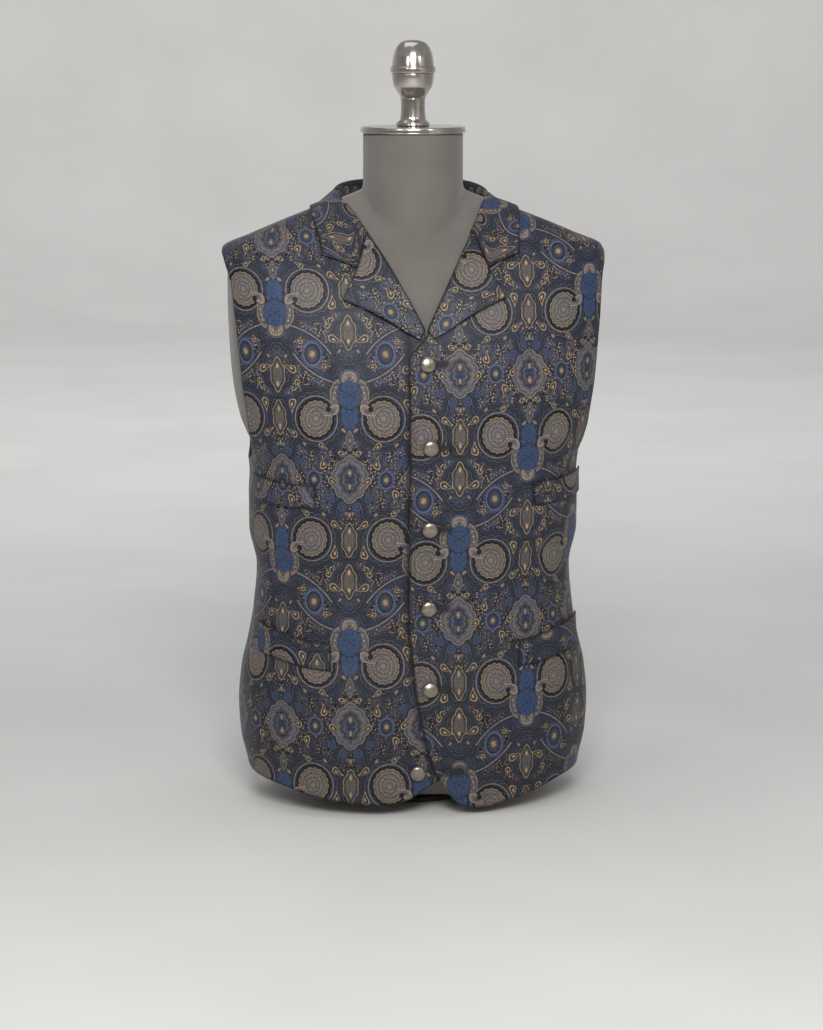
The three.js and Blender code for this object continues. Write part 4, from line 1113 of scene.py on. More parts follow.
def brocade_finish(colours):
    """The patterned cloth: columns of motifs, each mirrored about its own axis, every second one turned."""
    names = ("ground", "slate", "blue", "outline", "taupe", "gold", "brown")
    paint = {name: tuple(getattr(colours, name)) for name in names}
    f = Finish("brocade")
    across, up, _ = f.split(f.attribute("cloth"))
    index = f.math("ROUND", f.math("DIVIDE", across, COLUMN_WIDTH))
    x = f.math("ABSOLUTE", f.math("SUBTRACT", across, f.math("MULTIPLY", index, COLUMN_WIDTH)))
    turned = f.math("PINGPONG", index, 1.0)
    upright_down = f.math("MULTIPLY", up, -1.0)
    change = f.math("SUBTRACT", f.math("MULTIPLY", up, 2.0), TURNED_SHIFT)
    down = f.math("MULTIPLY_ADD", turned, change, upright_down)
    down = f.math("WRAP", down, REPEAT_END, REPEAT_END - REPEAT_HEIGHT)
    column_place = f.join(x, down)
    middle = (REPEAT_HEIGHT - 2 * TURNED_SHIFT) / 4
    far = f.math("GREATER_THAN", f.math("ABSOLUTE", f.math("SUBTRACT", down, middle)), REPEAT_HEIGHT / 4)
    low = f.math("GREATER_THAN", down, middle)
    from_turned = f.math("SUBTRACT", -float(TURNED_SHIFT), down)
    turned_down = f.math("MULTIPLY_ADD", low, float(REPEAT_HEIGHT), from_turned)
    far_place = f.join(f.math("SUBTRACT", float(COLUMN_WIDTH), x), turned_down)
    between_node = f.add("ShaderNodeMix", data_type="VECTOR")
    f.feed(between_node.inputs[0], far)
    f.feed(between_node.inputs[4], column_place)
    f.feed(between_node.inputs[5], far_place)
    places = {"column": column_place, "between": between_node.outputs[1]}

    def painted(stops):
        return [(place, shade(paint[name], bright), cover) for place, name, bright, cover in stops]

    def layer(under, value, stops, where=None):
        rgb, cover = f.ramp(value, painted(stops))
        if where is not None:
            cover = f.math("MULTIPLY", cover, where)
        return f.mix(cover, under, rgb)

    # Ground: outlined fields, dark and slate in turn, with echoing lines, small rings and seeds
    field = f.noise(column_place, 0.034, 0.6, 0.5, 1.5)
    base, _ = f.ramp(field, painted(GROUND["field"]))
    swirl = f.noise(column_place, 0.05, 1.0, 0.5, 1.6)
    base = layer(base, f.math("FRACT", f.math("MULTIPLY", swirl, 11.0)), GROUND["echo"])
    stem = f.math("ABSOLUTE", f.math("SUBTRACT", f.noise(column_place, 0.085, 1.0, 0.5, 1.8), 0.47))
    base = layer(base, stem, GROUND["stem"])
    base = layer(base, f.cells(column_place, 0.075, 0.9), GROUND["cell"])
    for name, scale in (("seed", 0.22), ("small_seed", 0.36)):
        sown = f.math("LESS_THAN", field, SOWN[name])
        base = layer(base, f.cells(column_place, scale), GROUND[name], sown)
    # Painted light and shade: the ground is darkened towards the hem and shoulders and brightened at the
    # chest, by height
    _, _, height = f.split(f.place())
    base = f.multiply(base, f.ramp(height, GROUND_SHADE_BY_HEIGHT)[0])

    for where, at, radii, turn, style, scallops, bend in MOTIFS:
        node = f.add("ShaderNodeMapping", vector_type="TEXTURE")
        f.feed(node.inputs["Vector"], places[where])
        node.inputs["Location"].default_value = (*at, 0)
        node.inputs["Rotation"].default_value = (0, 0, math.radians(turn))
        node.inputs["Scale"].default_value = (*radii, 1)
        local = node.outputs[0]
        if bend:
            # A comma: a round head whose tail narrows and swings aside
            lx, ly, _ = f.split(local)
            tail = f.math("MAXIMUM", f.math("ADD", ly, 0.3), 0.0)
            squared = f.math("MULTIPLY", tail, tail)
            bent = f.math("MULTIPLY_ADD", squared, bend, lx)
            local = f.join(f.math("MULTIPLY", bent, f.math("MULTIPLY_ADD", squared, 0.9, 1.0)), ly)
        distance = f.vector("LENGTH", local)
        if scallops:
            lx, ly, _ = f.split(local)
            ripple = f.math("SINE", f.math("MULTIPLY", f.math("ARCTAN2", ly, lx), scallops / 2))
            distance = f.math("MULTIPLY_ADD", f.math("ABSOLUTE", ripple), -0.075, distance)
        # The ramp runs past the radius, so that a motif can fade outside its edge
        stops = [(place / RAMP_REACH, *rest) for place, *rest in STYLES[style]]
        base = layer(base, f.math("MULTIPLY", distance, 1 / RAMP_REACH), stops)

    # Fine drawing inside every motif: veins and mottling, mirrored with it
    veins = f.math("ABSOLUTE", f.math("SUBTRACT", f.noise(column_place, 0.2, 1.0, 0.5, 1.4), 0.5))
    base = f.multiply(base, f.ramp(veins, VEIN_TONES)[0])
    base = f.multiply(base, f.ramp(f.noise(column_place, 0.55, 2.0, 0.6, 0.8), MOTTLE_TONES)[0])
    # Painted light and shade: the whole cloth is darkened towards the hem and shoulders, by height
    base = f.multiply(base, f.ramp(height, CLOTH_SHADE_BY_HEIGHT)[0])

    # Thread: uneven dye, broken floats across the cloth, and a fine twill; then painted shade near the edges
    cloth_place = f.join(across, up)
    base = f.multiply(base, f.ramp(f.noise(cloth_place, 0.016, 2.0, 0.6, 0.8), DYE_TONES)[0])
    threads = f.noise(f.vector("MULTIPLY", cloth_place, (0.35, 2.6, 0)), 1.0, 2.0, 0.6)
    twill = f.wave(cloth_place, 0.55, "DIAGONAL", 0.4)
    base = f.multiply(base, f.ramp(threads, THREAD_TONES)[0])
    # Painted shade: darker within about 4 mm of the edge, and wherever that distance was lowered to paint
    # shade
    base = f.multiply(base, f.ramp(f.math("MULTIPLY", f.scalar("edge"), 0.1), EDGE_SHADE_TONES)[0])
    rough = f.math("MULTIPLY_ADD", threads, 0.2, 0.42)
    relief = f.math("MULTIPLY_ADD", twill, 0.35, threads)
    normal = f.uneven(cloth_place, (0.03, 0.02, 0), 0.0022, f.bump(relief, 0.00012, 0.7))
    shine = {"Sheen_Weight": 0.06, "Sheen_Roughness": 0.4, "Specular_IOR_Level": 0.3, "Anisotropic": 0.3}
    return f.finish(base, rough, normal, **shine)


def satin_finish(colours):
    f = Finish("back satin")
    place = f.attribute("cloth")
    warp = f.noise(f.vector("MULTIPLY", place, (2.4, 0.12, 0)), 1.0, 2.0, 0.6)
    cloud = f.noise(place, 0.02, 2.0)
    base = f.cloudy(cloud, colours.satin, 0.8, 1.3)
    rough = f.math("MULTIPLY_ADD", warp, 0.16, 0.3)
    normal = f.uneven(place, (0.035, 0.013, 0), 0.004, f.bump(warp, 0.00008, 0.5))
    return f.finish(base, rough, normal, Sheen_Weight=0.1, Specular_IOR_Level=0.5, Anisotropic=0.5)


def thread_finish(colours):
    f = Finish("sewing thread")
    place = f.place()
    twist = f.wave(place, 900.0, "DIAGONAL")
    base, _ = f.ramp(twist, [(0.2, shade(colours.thread, 0.6), 1), (0.8, shade(colours.thread, 1.7), 1)])
    return f.finish(base, 0.45, f.bump(twist, 0.0001, 0.6), Sheen_Weight=0.2, Specular_IOR_Level=0.45)


def pewter_finish(colours):
    f = Finish("satin pewter")
    place = f.place()
    grain = f.noise(place, 900.0, 3.0, 0.6)
    patches = f.noise(place, 130.0, 2.0)
    base = f.cloudy(patches, colours.pewter, 0.75, 1.15)
    rough = f.math("MULTIPLY_ADD", grain, 0.2, 0.2)
    return f.finish(base, rough, f.bump(grain, 0.00004, 0.5), Metallic=0.95)


def jersey_finish(colours):
    f = Finish("form jersey")
    place = f.place()
    ribs = f.wave(place, 260.0, "X", 0.8)
    fuzz = f.noise(place, 700.0, 2.0, 0.7)
    base = f.cloudy(f.noise(place, 14.0, 3.0), colours.jersey, 0.86, 1.1)
    height = f.math("MULTIPLY_ADD", ribs, 0.5, fuzz)
    return f.finish(base, 0.85, f.bump(height, 0.00025, 0.7), Sheen_Weight=0.25, Specular_IOR_Level=0.25)


def metal_finish(colours):
    f = Finish("form metal")
    place = f.place()
    brushed = f.noise(f.vector("MULTIPLY", place, (60, 60, 900)), 1.0, 3.0, 0.6)
    tarnish = f.noise(place, 45.0, 3.0)
    base = f.cloudy(tarnish, colours.metal, 0.7, 1.0)
    rough = f.math("MULTIPLY_ADD", brushed, 0.12, 0.12)
    return f.finish(base, rough, f.bump(brushed, 0.00002, 0.4), Metallic=1.0)


def paint_finish(name, rgb, roughness):
    f = Finish(name)
    place = f.place()
    speckle = f.noise(place, 220.0, 3.0, 0.6)
    base = f.cloudy(f.noise(place, 3.0, 3.0), rgb, 0.96, 1.03)
    rough = f.math("MULTIPLY_ADD", speckle, 0.1, roughness - 0.05)
    return f.finish(base, rough, f.bump(speckle, 0.0001, 0.3))


# The maker of each finish, and the name of its material slot in the record
FINISHES = {
    "brocade": (brocade_finish, "brocade"),
    "satin": (satin_finish, "back_satin"),
    "thread": (thread_finish, None),
    "pewter": (pewter_finish, "pewter"),
    "jersey": (jersey_finish, "form_jersey"),
    "metal": (metal_finish, "form_metal"),
    "foot": (lambda colours: paint_finish("foot paint", colours.foot, 0.55), "foot_paint"),
}
MADE_FINISHES = {}


def settle(context, made, finish, node=None):
    """Puts a made piece on the body, in the place of its solid if it has one, with its finish."""
    make, slot = FINISHES[finish]
    if finish not in MADE_FINISHES:
        MADE_FINISHES[finish] = make(context.scene.vest_colours)
    if node:
        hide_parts(node)
    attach(made, "root")
    made.data.materials.append(MADE_FINISHES[finish])


def body_coordinates(start):
    """Cloth coordinates measured round the body and up it, from where a column of motifs starts."""
    return lambda u, v, angle, z: started(start, distance_round(angle, z), distance_up(z))


class VEST_OT_fronts(bpy.types.Operator):
    """Make the two fronts with their topstitching"""

    bl_idname = "vest.fronts"
    bl_label = "Make the fronts"

    def execute(self, context):
        sizes = context.scene.vest_sizes
        thickness, inset = sizes.front_cloth / MM, sizes.topstitch_inset / MM
        width, length = FRONT_SPAN
        # Points lie close together in the topstitched strip
        near = EDGE_STEPS / width
        strip = np.linspace(near[-1], STITCHED_STRIP / width, 13)
        rest = np.linspace(strip[-1], 1 - near[-1], 74)[1:]
        us = np.concatenate([near[:-1], strip, rest, 1 - near[:-1][::-1]])
        vs = close_at_ends(230, length)
        for side in (1, -1):
            node = f"front_{side_name(side)}"
            place = mirrored_to(side, front_place(side))

            def drop(angle, z):
                return 0 * angle if side > 0 else underlap(angle, z)

            def lift(u, v, angle, z):
                dent = stitch_dent(u * width, inset) * smooth((TOPSTITCH_END - v) / 0.02)
                return dent + drop(angle, z)

            # The right front gets a painted shadow beside the left front's overlapping edge
            slits, under_edge = [], FRONT_EDGE[1] + [(-OVERLAP, z) for z in STRAIGHT_EDGE]
            if side > 0:
                slits = [(x, z, sizes.buttonhole / MM) for x, z in buttonhole_places(sizes)]
                under_edge = None
            coordinates = body_coordinates(PATTERN_START[node])
            made = body_cloth(
                f"cloth_{node}", place, us, vs, FRONT_SPAN, lift, thickness, coordinates, slits, under_edge
            )
            settle(context, made, "brocade", node)
            along = np.linspace(0.006, TOPSTITCH_END - 0.002, 900)
            angle, z = place(np.full(along.shape, inset / width), along)
            line = skin_point(angle, z, drop(angle, z) - 0.2)
            run = stitches(f"topstitch_{node}", line, body_normal(angle, z), sizes)
            settle(context, run, "thread")
        return {"FINISHED"}


class VEST_OT_backs(bpy.types.Operator):
    """Make the two backs"""

    bl_idname = "vest.backs"
    bl_label = "Make the backs"

    def execute(self, context):
        thickness = context.scene.vest_sizes.back_cloth / MM
        us, vs = close_at_ends(86, BACK_SPAN[0]), close_at_ends(200, BACK_SPAN[1])

        def lift(u, v, angle, z):
            return 0 * angle

        def coordinates(u, v, angle, z):
            return started((0, 0), distance_round(angle, z), z)

        for side in (1, -1):
            node = f"back_{side_name(side)}"
            place = mirrored_to(side, back_place())
            made = body_cloth(f"cloth_{node}", place, us, vs, BACK_SPAN, lift, thickness, coordinates)
            settle(context, made, "satin", node)
        return {"FINISHED"}


class VEST_OT_lapels(bpy.types.Operator):
    """Make the two lapels, rolled over at the front's neck edge"""

    bl_idname = "vest.lapels"
    bl_label = "Make the lapels"

    def execute(self, context):
        thickness = context.scene.vest_sizes.collar_cloth / MM
        width, length = LAPEL_SPAN
        v, u = np.meshgrid(close_at_ends(90, length), close_at_ends(40, width), indexing="ij")
        spring = LAPEL_SPRING * smooth(v * 3) * (1 - 0.5 * u * (1 - u))
        spring = spring + LAPEL_EDGE_LIFT * u**3 * np.sin(math.pi * clamp01(1.1 - v)) ** 2
        centre = LAID_ON + spring - thickness / 2
        border = np.minimum((1 - u) * width, np.minimum(v, 1 - v) * length)
        half = half_thickness(border, thickness)
        # Painted shade: the cloth is darkened where it turns over at the roll line
        border = np.minimum(border, ROLL_SHADE + u * width * 0.6)
        # It turns round the roll line in a half circle and ends beside the front's edge
        turn = np.linspace(-1.2, math.pi / 2, 10)[:-1]
        border = np.concatenate([np.repeat(border[:, :1], len(turn), axis=1), border], axis=1)
        edge = centre[:, :1]
        radius = (edge + thickness / 2) / 2
        end_rim = half_thickness(np.minimum(v[:, :1], 1 - v[:, :1]) * length, thickness)
        for side in (1, -1):
            node = f"lapel_{side_name(side)}"
            place = mirrored_to(side, lapel_place())
            angle, z = place(u, v)
            outer = skin_point(angle, z, centre + half)
            inner = skin_point(angle, z, centre - half)
            base = skin_point(angle[:, :1], z[:, :1], 0 * edge)
            inward = -unit(skin_point(*place(u[:, 1:2] + 0.02, v[:, 1:2]), 0 * edge) - base)
            normal = body_normal(angle[:, :1], z[:, :1])
            rows_out, rows_in = [], []
            for t in turn:
                rim = np.minimum(end_rim, half_thickness((t - turn[0]) * radius, thickness))
                for rows, r in ((rows_out, radius + rim), (rows_in, radius - rim)):
                    sideways = inward * (math.cos(t) * r)[..., None]
                    raised = normal * (edge - radius + math.sin(t) * r)[..., None]
                    rows.append(base + sideways + raised)
            outer = np.concatenate([*rows_out, outer], axis=1)
            inner = np.concatenate([*rows_in, inner], axis=1)
            coordinates = self.coordinates(node, side, angle, z)
            extra = np.repeat(coordinates[:, :1], len(turn), axis=1)
            extra = extra - np.array([side, 0]) * ((math.pi / 2 - turn) * 2.0)[None, :, None]
            coordinates = np.concatenate([extra, coordinates], axis=1)
            made = shell(f"cloth_{node}", outer, inner, coordinates, border)
            settle(context, made, "brocade", node)
        return {"FINISHED"}

    @staticmethod
    def coordinates(node, side, angle, z):
        """The lapel is cut along its roll line, so its motifs lean with it."""
        lean = math.radians(LAPEL_LEAN) * side
        across, up = distance_round(angle, z), distance_up(z)
        leaning_across = across * math.cos(lean) - up * math.sin(lean)
        leaning_up = across * math.sin(lean) + up * math.cos(lean)
        return started(PATTERN_START[node], leaning_across, leaning_up)


def on_front(x, z, lift=0.0):
    """A point of the fronts' face, moved out by lift."""
    return skin_point(angle_across(x, z), float(z), np.array(lift))


COLLAR_CURVES = []


def collar_curves():
    if not COLLAR_CURVES:
        for rows in (COLLAR_FOLD, COLLAR_SEAM, COLLAR_OUTER):
            COLLAR_CURVES.append(Curve([on_front(x, z) if y is None else (x, y, z) for x, y, z in rows]))
    return COLLAR_CURVES


def collar_profile(t, shift=None):
    """The collar's control rows at a share from the notch to the centre back."""
    fold, seam, outer_edge = collar_curves()
    crest, low, edge = fold.by_share(t), seam.by_share(t), outer_edge.by_share(t)
    out = unit(np.array([crest[0], crest[1], 0]))
    face = body_normal(math.atan2(crest[0], -crest[1]), min(crest[2], NECK_POINT_HEIGHT))
    away = unit(np.cross(fold.direction(t), face))
    if away @ out > 0:
        away = -away
    drop = np.array([0, 0, FOLD_DROP])
    lip = [
        crest + away * LIP_REACH - face * LIP_DEPTH,
        crest + away * (LIP_REACH + 0.3) + face * 0.3,
        crest + away * LIP_REACH + face * LAID_ON * 0.45,
        crest + away * LIP_REACH / 2 + face * LAID_ON * 0.85,
        crest + face * (LAID_ON + 0.4),
    ]
    stand = [
        low,
        (low + crest - drop) / 2,
        crest - drop,
        crest + out * FOLD_HALF_WIDTH,
        crest + out * 2 * FOLD_HALF_WIDTH - drop,
    ]
    standing = smooth((t - 0.2) / 0.2)
    rows = [p * (1 - standing) + q * standing for p, q in zip(lip, stand)]
    start = rows[-1]
    falls = []
    for k in range(1, FALL_ROWS + 1):
        w = k / FALL_ROWS
        p = start * (1 - w) + edge * w
        p = p + out * FALL_BULGE * math.sin(math.pi * w) * smooth((t - 0.4) / 0.3)
        if shift is not None:
            p = p + shift[k - 1] * max(0, 1 - t / NOTCH_FADE)
        falls.append(p)
    return rows, falls, start, edge


def clear_of_body(p, clearance):
    for _ in range(4):
        angle = math.atan2(p[0], -p[1])
        face = body_normal(angle, p[2])
        gap = (p - body_point(angle, p[2])) @ face
        if gap < clearance:
            p = p + face * (clearance - gap)
    return p


def collar_rows(steps):
    notch = on_front(*NOTCH, LAID_ON + LAPEL_SPRING)
    _, falls, start, edge = collar_profile(0.0)
    shift = []
    for k, p in enumerate(falls, start=1):
        if k <= NOTCH_ROW:
            cut = start + (notch - start) * k / NOTCH_ROW
        else:
            cut = notch + (edge - notch) * (k - NOTCH_ROW) / (FALL_ROWS - NOTCH_ROW)
        shift.append(cut - p)
    half = []
    for t in steps:
        rows, falls, _, _ = collar_profile(float(t), shift)
        half.append(rows + [clear_of_body(p, LAID_ON + FALL_CLEARANCE) for p in falls])
    return np.array(half)


class VEST_OT_collar(bpy.types.Operator):
    """Make the collar: stand, fold and fall in one piece"""

    bl_idname = "vest.collar"
    bl_label = "Make the collar"

    def execute(self, context):
        thickness = context.scene.vest_sizes.collar_cloth / MM
        span, width = COLLAR_SPAN
        near = EDGE_STEPS / span
        steps = np.concatenate([near[:-1], np.linspace(near[-1], 1, 70)])
        across = close_at_ends(44, width)
        fine = np.array([Curve(row)(across) for row in collar_rows(steps)])
        grid = np.concatenate([fine[:-1] * (-1, 1, 1), fine[::-1]])
        along = np.concatenate([steps[:-1], steps[::-1]])
        normal = unit(np.cross(np.gradient(grid, axis=1), np.gradient(grid, axis=0)))
        border = np.minimum(np.minimum(across, 1 - across)[None, :] * width, along[:, None] * span)
        rim = half_thickness(border, thickness)[..., None]
        centre = grid + normal * thickness / 2
        lengths = np.cumsum(np.linalg.norm(np.diff(grid[:, 30], axis=0), axis=1))
        lengths = np.concatenate([[0], lengths]) - lengths[-1] / 2
        x, y = np.meshgrid(lengths, across * width, indexing="ij")
        coordinates = started(PATTERN_START["collar"], x, y)
        made = shell("cloth_collar", centre - normal * rim, centre + normal * rim, coordinates, border)
        settle(context, made, "brocade", "collar")
        return {"FINISHED"}


class VEST_OT_welts(bpy.types.Operator):
    """Make the four pocket welts"""

    bl_idname = "vest.welts"
    bl_label = "Make the pocket welts"

    def execute(self, context):
        thickness = context.scene.vest_sizes.welt_cloth / MM
        us, vs = close_at_ends(46, WELT_SPAN[0]), close_at_ends(16, WELT_SPAN[1])

        def lift(u, v, angle, z):
            return thickness + LAID_GAP + WELT_GAPE * v * v * np.sin(math.pi * (0.1 + 0.7 * u))

        for kind, rows in (("upper", UPPER_WELT), ("lower", LOWER_WELT)):
            for side in (1, -1):
                node = f"{kind}_welt_{side_name(side)}"
                place = mirrored_to(side, welt_place(rows))
                coordinates = body_coordinates(PATTERN_START[f"welt_{side_name(side)}"])
                made = body_cloth(f"cloth_{node}", place, us, vs, WELT_SPAN, lift, thickness, coordinates)
                settle(context, made, "brocade", node)
        return {"FINISHED"}


def thread_ring(name, centre, across, up, out, length, radius):
    """Buttonhole stitches round a slit, as short threads side by side."""
    starts, ends = [], []
    for s in np.arange(-length / 2, length / 2, radius * 1.9):
        for way in (1, -1):
            base = centre + across * s
            starts.append(base + up * way * BUTTONHOLE_BAR)
            ends.append(base + up * way * BUTTONHOLE_REACH)
    for s in np.linspace(-BUTTONHOLE_REACH * 0.75, BUTTONHOLE_REACH * 0.75, 5):
        for end in (-1, 1):
            base = centre + across * end * length / 2 + up * s
            starts.append(base + across * end * 0.1)
            ends.append(base + across * end * 1.5)
    ups = np.repeat(out[None, :], len(starts), axis=0)
    return beads(name, np.array(starts), np.array(ends), ups, radius)


class VEST_OT_buttonholes(bpy.types.Operator):
    """Work the buttonholes on the left front"""

    bl_idname = "vest.buttonholes"
    bl_label = "Work the buttonholes"

    def execute(self, context):
        sizes = context.scene.vest_sizes
        length, radius = sizes.buttonhole / MM, sizes.thread / MM / 2
        for index, (x, z) in enumerate(buttonhole_places(sizes), start=1):
            angle = angle_across(x, z)
            out = body_normal(angle, float(z))
            across = unit(body_point(angle + 0.01, z) - body_point(angle - 0.01, z))
            up = np.cross(out, across)
            centre = on_front(x, z, 0.12)
            made = thread_ring(f"buttonhole_{index}", centre, across, up, out, length, radius)
            settle(context, made, "thread")
        return {"FINISHED"}


class VEST_OT_buttons(bpy.types.Operator):
    """Make the six domed buttons on their shanks"""

    bl_idname = "vest.buttons"
    bl_label = "Make the buttons"

    def execute(self, context):
        r, shank = context.scene.vest_sizes.button / MM, SHANK_RADIUS
        low, high = SHANK_LENGTH, SHANK_LENGTH + BUTTON_RIM
        profile = [(0, 0), (shank - 0.3, 0), (shank, 0.3), (shank - 0.5, 1.2), (shank, low)]
        profile += [(r - 1.2, low), (r - 0.3, low + 0.25), (r, low + 0.8)]
        profile += [(r - 0.15, high - 0.1), (r - 0.45, high + 0.1), (r - 0.55, high + 0.25)]
        dome = BUTTON_DOME - BUTTON_RIM - 0.2
        for k in range(1, 15):
            turn = k / 14 * math.pi / 2
            profile.append(((r - 0.5) * math.cos(turn), high + 0.2 + dome * math.sin(turn)))
        for index, (x, z, tilt) in enumerate(BUTTONS, start=1):
            under = -UNDERLAP_DROP if index == len(BUTTONS) else 0
            tipped = math.sin(math.radians(abs(tilt))) * shank
            out = body_normal(angle_across(x, z), float(z))
            made = turned_mesh(f"pewter_button_{index}", profile, 48)
            axis = Matrix.Rotation(math.radians(tilt), 3, "X") @ Vector(out)
            spin = Vector((0, 0, 1)).rotation_difference(axis).to_matrix().to_4x4()
            spot = on_front(x, z, under + SEAM_GAP + tipped) * MM
            made.matrix_world = Matrix.Translation(Vector(spot)) @ spin
            settle(context, made, "pewter", f"button_{index}")
        return {"FINISHED"}


def neck_radius(angle):
    depth = np.where(np.cos(angle) > 0, NECK_RADIUS[1], NECK_RADIUS[2])
    return 1 / np.hypot(np.sin(angle) / NECK_RADIUS[0], np.cos(angle) / depth)


def form_point(angle, z):
    behind = smooth(-np.cos(angle)) * smooth((z - UNDERARM_HEIGHT) / 200)
    inset = 2.0 + SEAM_GAP + ease_at(z) + BACK_SHOULDER_EASE * behind
    p = body_point(angle, z) - body_normal(angle, z) * inset[..., None]
    torso = np.hypot(p[..., 0], p[..., 1])
    blended = soft_max(torso, neck_radius(angle), NECK_BLEND * smooth((z - 590) / 60))
    radius = np.where(z > NECK_POINT_HEIGHT - 90, blended, torso)
    height = np.where(z > NECK_POINT_HEIGHT, z, p[..., 2])
    x, y = radius * np.sin(angle), -radius * np.cos(angle)
    reach = soft_min(np.abs(x), ARM_PLATE_X, ARM_PLATE_BLEND)
    x = np.sign(x) * np.minimum(np.abs(x), reach)
    return np.stack([x, y, height], axis=-1)


class VEST_OT_form(bpy.types.Operator):
    """Make the dress form's body"""

    bl_idname = "vest.form"
    bl_label = "Make the dress form"

    def execute(self, context):
        angles = turns(144)
        heights, shrinks = np.array(FORM_ROUNDING).T
        # Height, how far the ring shrinks, and whether it stays at that height
        rounded_part = np.linspace(FORM_BASE, heights[-1], 26)
        levels = [(z, np.interp(z, heights, shrinks), True) for z in rounded_part]
        levels += [(z, 0, False) for z in (*np.linspace(88, 660, 150), *np.linspace(664, 731, 22))]
        levels += [(NECK_TOP - 0.6, 0.5, True), (NECK_TOP, 1.5, True)]
        rings = []
        for z, shrink, fixed in levels:
            p = form_point(angles, np.full(len(angles), float(z)))
            length = np.hypot(p[:, 0], p[:, 1])
            p[:, :2] *= ((length - shrink) / length)[:, None]
            if fixed:
                p[:, 2] = z
            rings.append(p)
        made = closed_rings("jersey_form", rings, FORM_BASE, NECK_TOP)
        settle(context, made, "jersey", "form_body")
        return {"FINISHED"}


# The finial's radius and height, a row given twice where it has a sharp corner
FINIAL = [
    (0, 0), (17.3, 0), (17.3, 0), (17.9, 0.5), (18.1, 1.6), (17.9, 3), (17.2, 4.2), (15.6, 5.4), (14.5, 6.2),
    (14.5, 6.2), (13.8, 8.4), (13.5, 11), (13, 20), (13.1, 26), (13.3, 29.4), (13.3, 29.4), (14.6, 32.4),
    (18.4, 38.4), (20.8, 43), (22.2, 50), (22.8, 56), (22.8, 56), (22.6, 56.5), (22.6, 56.5), (24, 57.2),
    (24.4, 60), (24, 63), (22.7, 63.7), (22.7, 63.7), (22.5, 66), (22.1, 69.6), (21, 76), (18.4, 83.2),
    (14.6, 88.2), (9.6, 90.9), (4.8, 91.8), (0, 92),
]


class VEST_OT_fittings(bpy.types.Operator):
    """Make the form's cap, finial and foot"""

    bl_idname = "vest.fittings"
    bl_label = "Make the cap, finial and foot"

    def execute(self, context):
        r, h = CAP_RADIUS, CAP_HEIGHT
        cap = [(0, 0), (r - 1, 0), (r - 1, 0), (r - 0.3, 0.3), (r, 1), (r, 1), (r, h - 2.2), (r, h - 2.2)]
        cap += [(r - 0.3, h - 1), (r - 0.9, h - 0.3), (r - 2.2, h), (r - 2.2, h), (0, h)]
        base = NECK_TOP + SEAM_GAP
        for name, node, profile, height in (
            ("metal_cap", "neck_cap", cap, base),
            ("metal_finial", "finial", FINIAL, base + CAP_HEIGHT + SEAM_GAP),
        ):
            made = turned_mesh(name, rounded(profile), 96)
            made.matrix_world = Matrix.Translation((0, 0, height * MM))
            settle(context, made, "metal", node)
        # The foot is a real part; its dark paint also stands in for painted shade under the hem
        wide, deep, high, edge = FOOT_SIZE
        rows = [(0, edge), (0.3, 0.5), (edge, 0), (high - edge, 0), (high - 0.4, 0.5), (high, edge)]
        steps = 120
        across, along = np.cos(turns(steps)), np.sin(turns(steps))
        points = []
        for z, less in rows:
            ring = [(wide - less) * across, (deep - less) * along, np.full(steps, float(z))]
            points.append(np.stack(ring, axis=-1))
        last = (len(rows) - 1) * steps
        caps = [tuple(reversed(range(steps))), tuple(range(last, last + steps))]
        faces = caps + ring_faces(len(rows), steps)
        made = make_mesh("painted_foot", np.concatenate(points), faces, smooth=False)
        settle(context, made, "foot", "foot")
        return {"FINISHED"}


CAMERA_PLACE = (-427.05, -3243.78, 860.74)
CAMERA_AIM = (-1.6, 0, 313.6)
CAMERA_LENS = 104.85
FLOOR_RADIUS = 5000
FLOOR_CURVE = 1500
WALL_TOP = 3200
# Name, place and aim in metres, width, power and colour
LIGHTS = [
    ("key", (-0.3, -2.75, 1.9), (0, 0, 0.4), 1.0, 68, (1.0, 0.99, 0.97)),
    ("fill", (2.4, -2.6, 1.0), (0, 0, 0.4), 2.0, 4, (0.97, 0.92, 0.95)),
    ("top", (-0.3, 0.2, 2.6), (0, 0, 0.4), 1.6, 8, (1.0, 1.0, 1.0)),
    ("left strip", (-1.1, -1.5, 1.3), (0, 0, 0.4), 0.3, 3, (1.0, 1.0, 1.0)),
    ("right strip", (1.0, -1.6, 1.4), (0, 0, 0.4), 0.25, 1.5, (1.0, 1.0, 1.0)),
    ("backdrop", (0.0, 2.2, 3.4), (0, 6, 1.2), 3.0, 85, (1.0, 1.0, 1.0)),
]
WORLD_COLOUR = (0.93, 0.95, 1.0, 1)
WORLD_STRENGTH = 0.35


def aimed(made, place, aim):
    made.location = place
    made.rotation_euler = (Vector(aim) - Vector(place)).to_track_quat("-Z", "Y").to_euler()


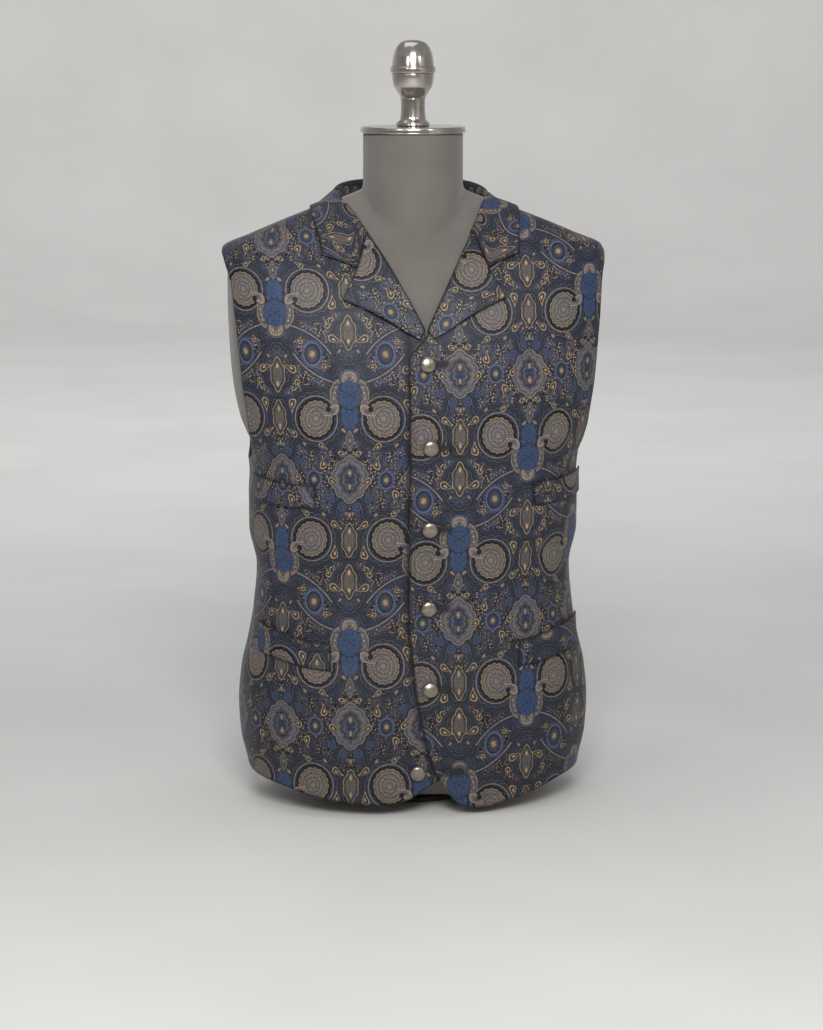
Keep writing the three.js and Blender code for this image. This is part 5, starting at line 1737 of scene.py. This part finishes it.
class VEST_OT_stage(bpy.types.Operator):
    """Set up the floor, the backdrop, the lights and the camera"""

    bl_idname = "vest.stage"
    bl_label = "Set up the stage"

    def execute(self, context):
        scene = context.scene
        # A wide round floor that curves up into a low wall on every side
        profile = []
        for turn in np.linspace(0, math.pi / 2, 13):
            out, up = FLOOR_CURVE * math.sin(turn), FLOOR_CURVE * (1 - math.cos(turn))
            profile.append((FLOOR_RADIUS + out, up))
        profile.append((FLOOR_RADIUS + FLOOR_CURVE, WALL_TOP))
        steps = 64
        angles = turns(steps)
        ring = np.stack([np.cos(angles), np.sin(angles), 0 * angles], axis=-1)
        points = [ring * r + (0, 0, z) for r, z in profile]
        faces = [face[::-1] for face in ring_faces(len(profile), steps)]
        faces += [(len(profile) * steps, k, (k + 1) % steps) for k in range(steps)]
        floor = make_mesh("stage_floor", np.concatenate([*points, [(0, 0, 0)]]), faces)
        floor.data.materials.append(paint_finish("studio floor", scene.vest_colours.floor, 0.8))
        for name, place, aim, width, power, rgb in LIGHTS:
            lamp = bpy.data.lights.new(name, "AREA")
            lamp.energy = power
            lamp.size = width
            lamp.color = rgb
            aimed(place_in_scene(name, lamp), place, aim)
        world = bpy.data.worlds.new("studio")
        world.use_nodes = True
        back = world.node_tree.nodes["Background"]
        back.inputs[0].default_value = WORLD_COLOUR
        back.inputs[1].default_value = WORLD_STRENGTH
        scene.world = world
        camera = bpy.data.cameras.new("camera")
        camera.lens = CAMERA_LENS
        camera.clip_end = 50
        scene.camera = place_in_scene("camera", camera)
        aimed(scene.camera, Vector(CAMERA_PLACE) * MM, Vector(CAMERA_AIM) * MM)
        scene.view_settings.view_transform = "Standard"
        return {"FINISHED"}


class VEST_PT_panel(bpy.types.Panel):
    """Everything that makes the vest, in order"""

    bl_idname = "VEST_PT_panel"
    bl_label = "Brocade vest"
    bl_space_type = "VIEW_3D"
    bl_region_type = "UI"
    bl_category = "Vest"

    def draw(self, context):
        for kind in OPERATORS:
            self.layout.operator(kind.bl_idname)
        for group in (context.scene.vest_sizes, context.scene.vest_colours):
            box = self.layout.box()
            for key in group.__annotations__:
                box.prop(group, key)


OPERATORS = (
    VEST_OT_form,
    VEST_OT_fittings,
    VEST_OT_backs,
    VEST_OT_fronts,
    VEST_OT_lapels,
    VEST_OT_collar,
    VEST_OT_welts,
    VEST_OT_buttonholes,
    VEST_OT_buttons,
    VEST_OT_stage,
)
CLASSES = (VestSizes, VestColours, *OPERATORS, VEST_PT_panel)


def register():
    for kind in CLASSES:
        bpy.utils.register_class(kind)
    bpy.types.Scene.vest_sizes = PointerProperty(type=VestSizes)
    bpy.types.Scene.vest_colours = PointerProperty(type=VestColours)


def unregister():
    del bpy.types.Scene.vest_colours
    del bpy.types.Scene.vest_sizes
    for kind in reversed(CLASSES):
        bpy.utils.unregister_class(kind)


def main():
    register()
    for kind in OPERATORS:
        group, name = kind.bl_idname.split(".")
        getattr(getattr(bpy.ops, group), name)()


if __name__ == "__main__":
    main()
